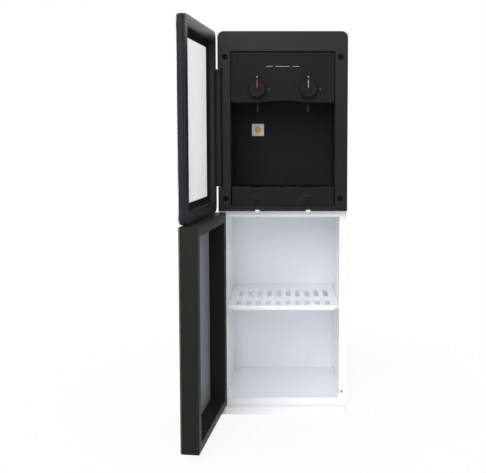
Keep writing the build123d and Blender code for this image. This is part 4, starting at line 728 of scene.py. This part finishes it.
skinLow, skinHigh = shutBox("lower_door_panel")
skinOutline = (skinLow[xz], skinHigh[xz])
skinBack = skinHigh[1] - lowerDoor["backing"]
rings = slabRings(skinOutline, corner, skinLow[1], skinBack, lowerDoor["skinRound"])
piece = addRings("doorSkinLower", opened(rings), finishes["door_skin"], "lower_door", "door_skin",
                 capStart=True, capEnd=True)
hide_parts("lower_door_panel")
backSheet = moulded("skinBack", linear(156, 163, 169), 0.3, grain=500, depth=0.02, drift=0.04)
rings = slabRings(skinOutline, corner, skinBack, skinHigh[1], lowerDoor["backingEdge"])
addRings("doorSkinBack", opened(rings), backSheet, "lower_door", "door_skin",
         capStart=True, capEnd=True)
print("lower door made")


# ---- knobs with a dished face, their pointers and the screw caps
knob = {
    "depth": 12 * mm,
    "draft": 0.6 * mm,
    "ring": 2.6 * mm,
    "ringDrop": 0.175 * mm,
    "dish": 0.5 * mm,
    "dishSlope": 1.2 * mm,
    "stem": 5 * mm,
    "rounds": (0, 0.8 * mm, 0.8 * mm, 1.6 * mm, 0.4 * mm, 0, 0.5 * mm, 0),
    "steps": 64,
}
pointer = {"width": 1.3 * mm, "proud": 0.1 * mm, "edge": 0.15 * mm, "steps": 4}
for tap in ("hot", "cold"):
    low, high = boxOf(tap + "_knob")
    centreX, _, centreZ = (low + high) / 2
    radius = (high[0] - low[0]) / 2
    faceY, backY, dishY = low[1], low[1] + knob["depth"], low[1] + knob["dish"]
    faceRadius = radius - knob["draft"]
    dishRadius = faceRadius - knob["ring"]
    stem, stemEnd = knob["stem"], high[1]
    profile = softened(
        [(0, dishY), (dishRadius - knob["dishSlope"], dishY),
         (dishRadius, faceY + knob["ringDrop"]), (faceRadius, faceY), (radius, backY),
         (stem, backY), (stem, stemEnd), (0, stemEnd)], knob["rounds"])
    rings = turned(profile, (centreX, 0, centreZ), knob["steps"])
    piece = addRings(tap + "Knob", rings, finishes["knob_plastic"], tap + "_tap", "knob_plastic")
    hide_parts(tap + "_knob")
    low, high = boxOf(tap + "_knob_pointer")
    middle, half = (low[0] + high[0]) / 2, pointer["width"] / 2
    rings = slabRings(((middle - half, low[2]), (middle + half, high[2])), half,
                      faceY - pointer["proud"], high[1], pointer["edge"], pointer["steps"])
    slot = "red_mark" if tap == "hot" else "pale_mark"
    piece = addRings(tap + "Pointer", rings, finishes[slot], tap + "_tap", slot,
                     capStart=True, capEnd=True)
    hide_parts(tap + "_knob_pointer")

capPlug = {"radius": 6.35 * mm, "dome": 0.5 * mm, "crown": 0.1 * mm, "crownShare": 0.55,
           "rounds": (0, 2 * mm, 0.5 * mm, 0.2 * mm, 0), "steps": 40}
low, high = boxOf("screw_caps")
radius = capPlug["radius"]
profile = softened(
    [(0, low[1] - capPlug["crown"]), (radius * capPlug["crownShare"], low[1]),
     (radius, low[1] + capPlug["dome"]), (radius, high[1]), (0, high[1])], capPlug["rounds"])
places = [(x, 0, z) for x in (low[0] + radius, high[0] - radius)
          for z in (low[2] + radius, high[2] - radius)]
capPlastic = moulded("capPlastic", linear(14, 14, 17), 0.6, depth=0.03, specular=0.03, dust=0.0,
                     edgeLight=0.0)
piece = addRings("screwCaps", turned(profile, steps=capPlug["steps"]), capPlastic, "cabinet",
                 "black_plastic", places)
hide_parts("screw_caps")
print("knobs and caps made")


# ---- drip tray: a front plate with relief, and a basin with a ledge for the grille
tray = {
    "plate": 3.0 * mm,
    "edge": 1.3 * mm,
    "topEdge": 2.7 * mm,
    "roundSteps": 4,
    "dips": ((-61 * mm, 34 * mm), (0, 14 * mm), (61 * mm, 34 * mm)),    # middle and width
    "dipDepth": 2.4 * mm,
    "notches": (-61 * mm, 61 * mm),
    "notchOuter": 6.5 * mm,
    "notchInner": 3.6 * mm,
    "notchDepth": 2.7 * mm,
    "notchSoft": 0.35 * mm,
    "swell": 27 * mm,
    "swellRise": 0.8 * mm,
    "swellSoft": 1.6 * mm,
    "columns": 90,
    "fineColumns": 70,
    "fineReach": 9 * mm,
    "lowRows": (0, 0.34, 30),       # share of the height from, to, and rows
    "highRows": (0.36, 1, 22),
}
trayLow, trayHigh = boxOf("drip_tray")
grilleLow, grilleHigh = boxOf("drip_grille")
plateFront, plateBack = trayLow[1], trayLow[1] + tray["plate"]


def trayTop(x):
    # the plate's top edge, lowered at each dip by a parabola across the dip's width
    top = np.full_like(x, trayHigh[2])
    for middle, width in tray["dips"]:
        top = top - tray["dipDepth"] * np.clip(1 - ((x - middle) / (width / 2)) ** 2, 0, None)
    return top


def trayRelief(x, z):
    # depth of the plate's face: a soft half disc swells out under each spout, and an
    # upside-down U is cut in at its foot
    depth = np.zeros(np.broadcast(x, z).shape)
    up = z - trayLow[2]
    outer, inner, soft = tray["notchOuter"], tray["notchInner"], tray["notchSoft"]
    for middle in tray["notches"]:
        aside = np.abs(x - middle)
        swell = ease((tray["swell"] - np.hypot(aside, up)) / tray["swellSoft"])
        crown = np.hypot(aside, np.clip(up - outer, 0, None))
        inU = ease((outer - crown) / soft) * ease((crown - inner) / soft)
        depth = depth - tray["swellRise"] * swell + tray["notchDepth"] * inU
    return depth


def trayFrontRings():
    # one ring for each x: round the lower edge, up the relief, over the top edge, down the back
    reach, edge, topEdge = tray["fineReach"], tray["edge"], tray["topEdge"]
    columns = [np.linspace(middle - reach, middle + reach, tray["fineColumns"])
               for middle in tray["notches"]]
    columns.append(np.linspace(trayLow[0], trayHigh[0], tray["columns"]))
    x = np.unique(np.concatenate(columns).round(7))[:, None]
    up = np.concatenate([np.linspace(*tray["lowRows"]), np.linspace(*tray["highRows"])])[None, :]
    bottom, top = trayLow[2] + edge, trayTop(x) - topEdge
    z = bottom + up * (top - bottom)
    y = plateFront + trayRelief(x, z)
    turn = np.linspace(0, math.pi / 2, tray["roundSteps"] + 1)[None, 1:]
    fall = turn[:, ::-1]
    ringY = np.hstack([y[:, :1] + edge * (1 - np.cos(fall)), y,
                       y[:, -1:] + topEdge * (1 - np.cos(turn)), np.full((len(x), 2), plateBack)])
    ringZ = np.hstack([bottom - edge * np.sin(fall) + 0 * x, z, top + topEdge * np.sin(turn),
                       trayTop(x), 0 * x + trayLow[2]])
    return np.stack([np.broadcast_to(x, ringY.shape), ringY, ringZ], -1)


trayPlastic = moulded("trayPlastic", linear(20, 22, 21), 0.4, depth=0.06, specular=0.08, dust=0.03)
piece = addRings("trayFront", trayFrontRings(), trayPlastic, "tray", "bay_plastic",
                 capStart=True, capEnd=True)
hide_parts("drip_tray")

basin = {
    "inset": 1 * mm,
    "overlap": 0.2 * mm,
    "wall": 2.0 * mm,
    "rimEdge": 0.5 * mm,
    "ledge": 3.0 * mm,
    "ledgeGap": 0.3 * mm,
    "ledgeDepth": 4 * mm,
    "ledgeFoot": 6 * mm,
    "floorEdge": 2 * mm,
    "foot": 0.8 * mm,
    "footRadius": 2 * mm,
    "cornerRadius": 3 * mm,
    "leastRadius": 1.5 * mm,
}
basinLow = np.array([trayLow[0] + basin["inset"], plateBack - basin["overlap"]])
basinHigh = np.array([trayHigh[0] - basin["inset"], trayHigh[1]])


def basinRing(inset, height, radius):
    # level ring: the basin's outline drawn in by the inset, at one height
    path = roundedRect(basinLow + inset, basinHigh - inset, radius)
    return np.column_stack([path, np.full(len(path), height)])


# up the outside, over the rim, down to the ledge and under it, then down to the floor
wall, rimEdge, bottom, rimTop = basin["wall"], basin["rimEdge"], trayLow[2], grilleHigh[2]
ledge, ledgeTop = wall + basin["ledge"], grilleLow[2] - basin["ledgeGap"]
steps = [(0, bottom + basin["foot"]), (0, rimTop - rimEdge), (rimEdge, rimTop),
         (wall - rimEdge, rimTop), (wall, rimTop - rimEdge), (wall, ledgeTop),
         (ledge, ledgeTop), (ledge, ledgeTop - basin["ledgeDepth"]),
         (wall, ledgeTop - basin["ledgeFoot"]), (wall, bottom + wall + basin["floorEdge"]),
         (wall + basin["floorEdge"], bottom + wall)]
rings = [basinRing(basin["foot"], bottom, basin["footRadius"])]
rings += [basinRing(inset, height, max(basin["cornerRadius"] - inset, basin["leastRadius"]))
          for inset, height in steps]
addRings("trayBasin", np.array(rings), trayPlastic, "tray", "bay_plastic",
         capStart=True, capEnd=True)
grillePlastic = moulded("grillePlastic", linear(17, 18, 18), 0.5, depth=0.08, specular=0.05,
                        dust=0.0)
nodes["drip_grille"].data.materials[0] = grillePlastic
print("drip tray made")


# ---- printed marks on the control panel, and the sticker in the bay
panelFront = boxOf("control_panel")[0][1]
markInk = moulded("printedInk", linear(206, 208, 212), 0.5, grain=900, depth=0.02, dust=0.0,
                  edgeLight=0.0)
inkLayer = 0.06 * mm


def printed(name, text, place, size, outwards, finish):
    # raised lettering of one ink layer, facing the front (outwards = -1) or the back (1)
    font = bpy.data.curves.new(name, "FONT")
    font.body = text
    font.size = size
    font.extrude = inkLayer / 2
    font.align_x = "CENTER"
    font.align_y = "CENTER"
    source = bpy.data.objects.new(name + "Source", font)
    bpy.context.scene.collection.objects.link(source)
    mesh = bpy.data.meshes.new_from_object(source)
    bpy.data.objects.remove(source)
    points = np.zeros(len(mesh.vertices) * 3)
    mesh.vertices.foreach_get("co", points)
    across, up, depth = points.reshape(-1, 3).T
    points = np.column_stack([across * -outwards, depth * outwards, up]) + np.array(place)
    faces = [tuple(face.vertices) for face in mesh.polygons]
    return addPiece(name, points, faces, finish, "cabinet")


marks = {"size": 6.0 * mm, "above": 27.5 * mm, "beside": 28.5 * mm, "drop": 1.5 * mm}
for tap in ("hot", "cold"):
    x, _, z = middleOf(tap + "_knob")
    shutPlace = (x, panelFront, z + marks["above"])
    openPlace = (x + marks["beside"], panelFront, z - marks["drop"])
    printed(tap + "MarkShut", "0", shutPlace, marks["size"], -1, markInk)
    printed(tap + "MarkOpen", "1", openPlace, marks["size"], -1, markInk)

# three groups of plain dashes over the knobs, each from its left end and with its own count
dashes = {
    "groups": ((-39 * mm, 6), (-17 * mm, 13), (24 * mm, 6)),
    "pitch": 2.6 * mm,
    "width": 1.5 * mm,
    "height": 1.2 * mm,
    "middle": 847.5 * mm,
    "round": 0.3 * mm,
    "edge": 0.02 * mm,
}
half = dashes["height"] / 2
dash = slabRings(((0, -half), (dashes["width"], half)), dashes["round"], panelFront - inkLayer,
                 panelFront, dashes["edge"], steps=2, edgeSteps=1)
places = [(left + i * dashes["pitch"], 0, dashes["middle"])
          for left, count in dashes["groups"] for i in range(count)]
addRings("panelDashes", dash, markInk, "cabinet", "pale_mark", places, capStart=True, capEnd=True)

sticker = {
    "place": (-65.4 * mm, 698.0 * mm),
    "side": 31.0 * mm,
    "thick": 0.2 * mm,
    "round": 1.5 * mm,
    "edge": 0.1 * mm,
    "dot": 8.5 * mm,
    "dotThick": 0.08 * mm,
    "linerWall": 2 * mm,
}
bayBack = boxOf("bay_liner")[1][1] - sticker["linerWall"]
x, z = sticker["place"]
half = sticker["side"] / 2
paperFront = bayBack - sticker["thick"]
rings = slabRings(((x - half, z - half), (x + half, z + half)), sticker["round"], paperFront,
                  bayBack, sticker["edge"])
paper = moulded("stickerPaper", linear(232, 232, 230), 0.45, grain=500, depth=0.02, dust=0.0,
                drift=0.02, edgeLight=0.0)
addRings("stickerSquare", rings, paper, "cabinet", "white_plastic", capStart=True, capEnd=True)
amber = moulded("stickerAmber", linear(214, 168, 30), 0.45, grain=500, depth=0.02, dust=0.0,
                drift=0.03, edgeLight=0.0)
dot, dotFront = sticker["dot"], paperFront - sticker["dotThick"]
rings = turned([(0, dotFront), (dot, dotFront), (dot, paperFront), (0, paperFront)], (x, 0, z))
addRings("stickerDot", rings, amber, "cabinet", "white_plastic")
print("marks and sticker made")


# ---- rear panel: hoods over the louvre slots, pan-head screws, and a 1 and a 0 at each switch
rearLow, rearHigh = boxOf("rear_panel")
rear = rearHigh[1]
louvre = {
    "width": 38 * mm,
    "height": 4 * mm,
    "pitch": 9 * mm,
    "gap": 8 * mm,
    "proud": 2.4 * mm,
    "sheet": 0.6 * mm,
    "over": 1.2 * mm,
    "endPower": 8,
    "lengthPoints": 11,
    "roundPoints": 5,
    "banks": ((796.5 * mm, 2, 12), (70 * mm, 4, 6)),    # middle height, columns and rows
}


def hoodRings():
    # half-closed hood: a quarter ellipse from above the slot out to its lower lip, drawn in to
    # nothing at both ends; the inner skin runs back a sheet's thickness inside it
    u = np.linspace(-1, 1, louvre["lengthPoints"])[:, None]
    v = np.linspace(0, math.pi / 2, louvre["roundPoints"])[None, :]
    taper = (1 - u ** louvre["endPower"]) ** 0.5
    top = louvre["height"] / 2 + louvre["over"]
    fall = louvre["height"] + louvre["over"]
    half = louvre["width"] / 2 + louvre["over"]
    skins = []
    for inset in (0, louvre["sheet"]):
        y = rear + (louvre["proud"] - inset) * np.sin(v) * taper
        z = top - inset - (fall - inset) * (1 - np.cos(v)) + 0 * u
        skins.append(np.stack([u * (half - inset) + 0 * v, y, z], -1))
    return np.concatenate([skins[0], skins[1][:, ::-1]], 1)


across, down = louvre["width"] + louvre["gap"], louvre["pitch"]
places = [((i - (columns - 1) / 2) * across, 0, middle + (j - (rows - 1) / 2) * down)
          for middle, columns, rows in louvre["banks"] for i in range(columns) for j in range(rows)]
slot = slotOf["rear_panel"]
addRings("louvreHoods", hoodRings(), finishes[slot], "cabinet", slot, places,
         capStart=True, capEnd=True)

screw = {
    "radius": 4 * mm,
    "height": 2 * mm,
    "domePower": 4,
    "domeDrop": 0.75,
    "cross": 0.55 * mm,
    "crossReach": 2.2 * mm,
    "crossDepth": 1.1 * mm,
    "soft": 0.3 * mm,
    "inset": 9 * mm,
    "rows": (40 * mm, 255 * mm, 470 * mm, 685 * mm, 885 * mm),
    "rings": 15,
    "spokes": 40,
}


def panHead():
    # domed disc on a polar grid, with a plus-shaped recess pressed into its middle
    share = np.append(np.linspace(0, 1, screw["rings"]), 1)[:, None]
    angle = np.linspace(0, 2 * math.pi, screw["spokes"], endpoint=False)[None, :]
    x = share * screw["radius"] * np.cos(angle)
    z = share * screw["radius"] * np.sin(angle)
    dome = screw["height"] * (1 - share ** screw["domePower"] * screw["domeDrop"]) + 0 * angle
    dome[-1] = 0
    bars = [ease((screw["cross"] - abs(a)) / screw["soft"] + 0.5)
            * ease((screw["crossReach"] - abs(b)) / screw["soft"]) for a, b in ((x, z), (z, x))]
    return np.stack([x, dome - screw["crossDepth"] * np.maximum(*bars), z], -1)


places = [(x, rear, z) for x in (rearLow[0] + screw["inset"], rearHigh[0] - screw["inset"])
          for z in screw["rows"]]
addRings("rearScrews", panHead(), finishes["steel"], "cabinet", "steel", places, capEnd=True)

switchMarks = {"size": 6 * mm, "away": 18 * mm}
for switch in ("heating", "cooling"):
    x, _, z = middleOf(switch + "_rocker")
    for text, side in (("1", 1), ("0", -1)):
        place = (x, rear, z + side * switchMarks["away"])
        printed(switch + "Mark" + text, text, place, switchMarks["size"], 1,
                finishes["black_plastic"])
print("rear panel dressed")


# ---- bottle seat: a funnel with soft edges and shallow ribs down its cone
seat = {
    "rise": 4.0 * mm,
    "edge": 1.5 * mm,
    "bevel": 6.0 * mm,
    "rim": 96.0 * mm,
    "rimWidth": 4.0 * mm,
    "rimDrop": 3.0 * mm,
    "neck": 32.0 * mm,
    "wall": 2.5 * mm,
    "cone": 46.0 * mm,
    "coneDrop": 1.0 * mm,
    "rounds": (0, 0.6 * mm, 4 * mm, 3 * mm, 6 * mm, 0.8 * mm, 0.8 * mm, 3 * mm, 0.8 * mm, 0),
    "ribs": 12,
    "ribDepth": 1.3 * mm,
    "ribFrom": 40.0 * mm,
    "ribTo": 88.0 * mm,
    "stepsPerRib": 20,
    "row": 2.5 * mm,
}


def ribbed(rings, count, depth, inner, outer):
    # rings about Z lifted into ribs: the crests of a cosine round them, times a half ellipse
    # between the inner and the outer radius
    radius = np.hypot(rings[..., 0], rings[..., 1])
    angle = np.arctan2(rings[..., 1], rings[..., 0])
    zone = (radius - inner) * (outer - radius) / ((outer - inner) / 2) ** 2
    wave = np.clip(np.cos(angle * count) * 2 - 1, 0, 1)
    lift = depth * np.clip(zone, 0, 1) ** 0.5 * wave
    return rings + np.stack([0 * lift, 0 * lift, lift], -1)


seatLow, seatHigh = boxOf("bottle_seat")
flange, seatTop = (seatHigh[0] - seatLow[0]) / 2, seatHigh[2]
cover, coneFoot = seatTop - seat["rise"], seatTop - seat["cone"]
rim, neck, neckOut = seat["rim"], seat["neck"], seat["neck"] + seat["wall"]
profile = softened(
    [(flange, cover), (flange, cover + seat["edge"]), (flange - seat["bevel"], seatTop),
     (rim - seat["rimWidth"], seatTop), (neck, coneFoot), (neck, seatLow[2]),
     (neckOut, seatLow[2]), (neckOut, coneFoot - seat["coneDrop"]),
     (rim, cover - seat["rimDrop"]), (rim, cover)], seat["rounds"])
rings = lathe(spaced(profile, seat["row"]), seat["stepsPerRib"] * seat["ribs"])
rings = ribbed(rings, seat["ribs"], seat["ribDepth"], seat["ribFrom"], seat["ribTo"])
slot = slotOf["bottle_seat"]
seatPlace = (*middleOf("bottle_seat")[:2], 0)
piece = addRings("bottleSeat", rings, finishes[slot], "cabinet", slot, [seatPlace], closeRows=True)
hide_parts("bottle_seat")
print("bottle seat made")
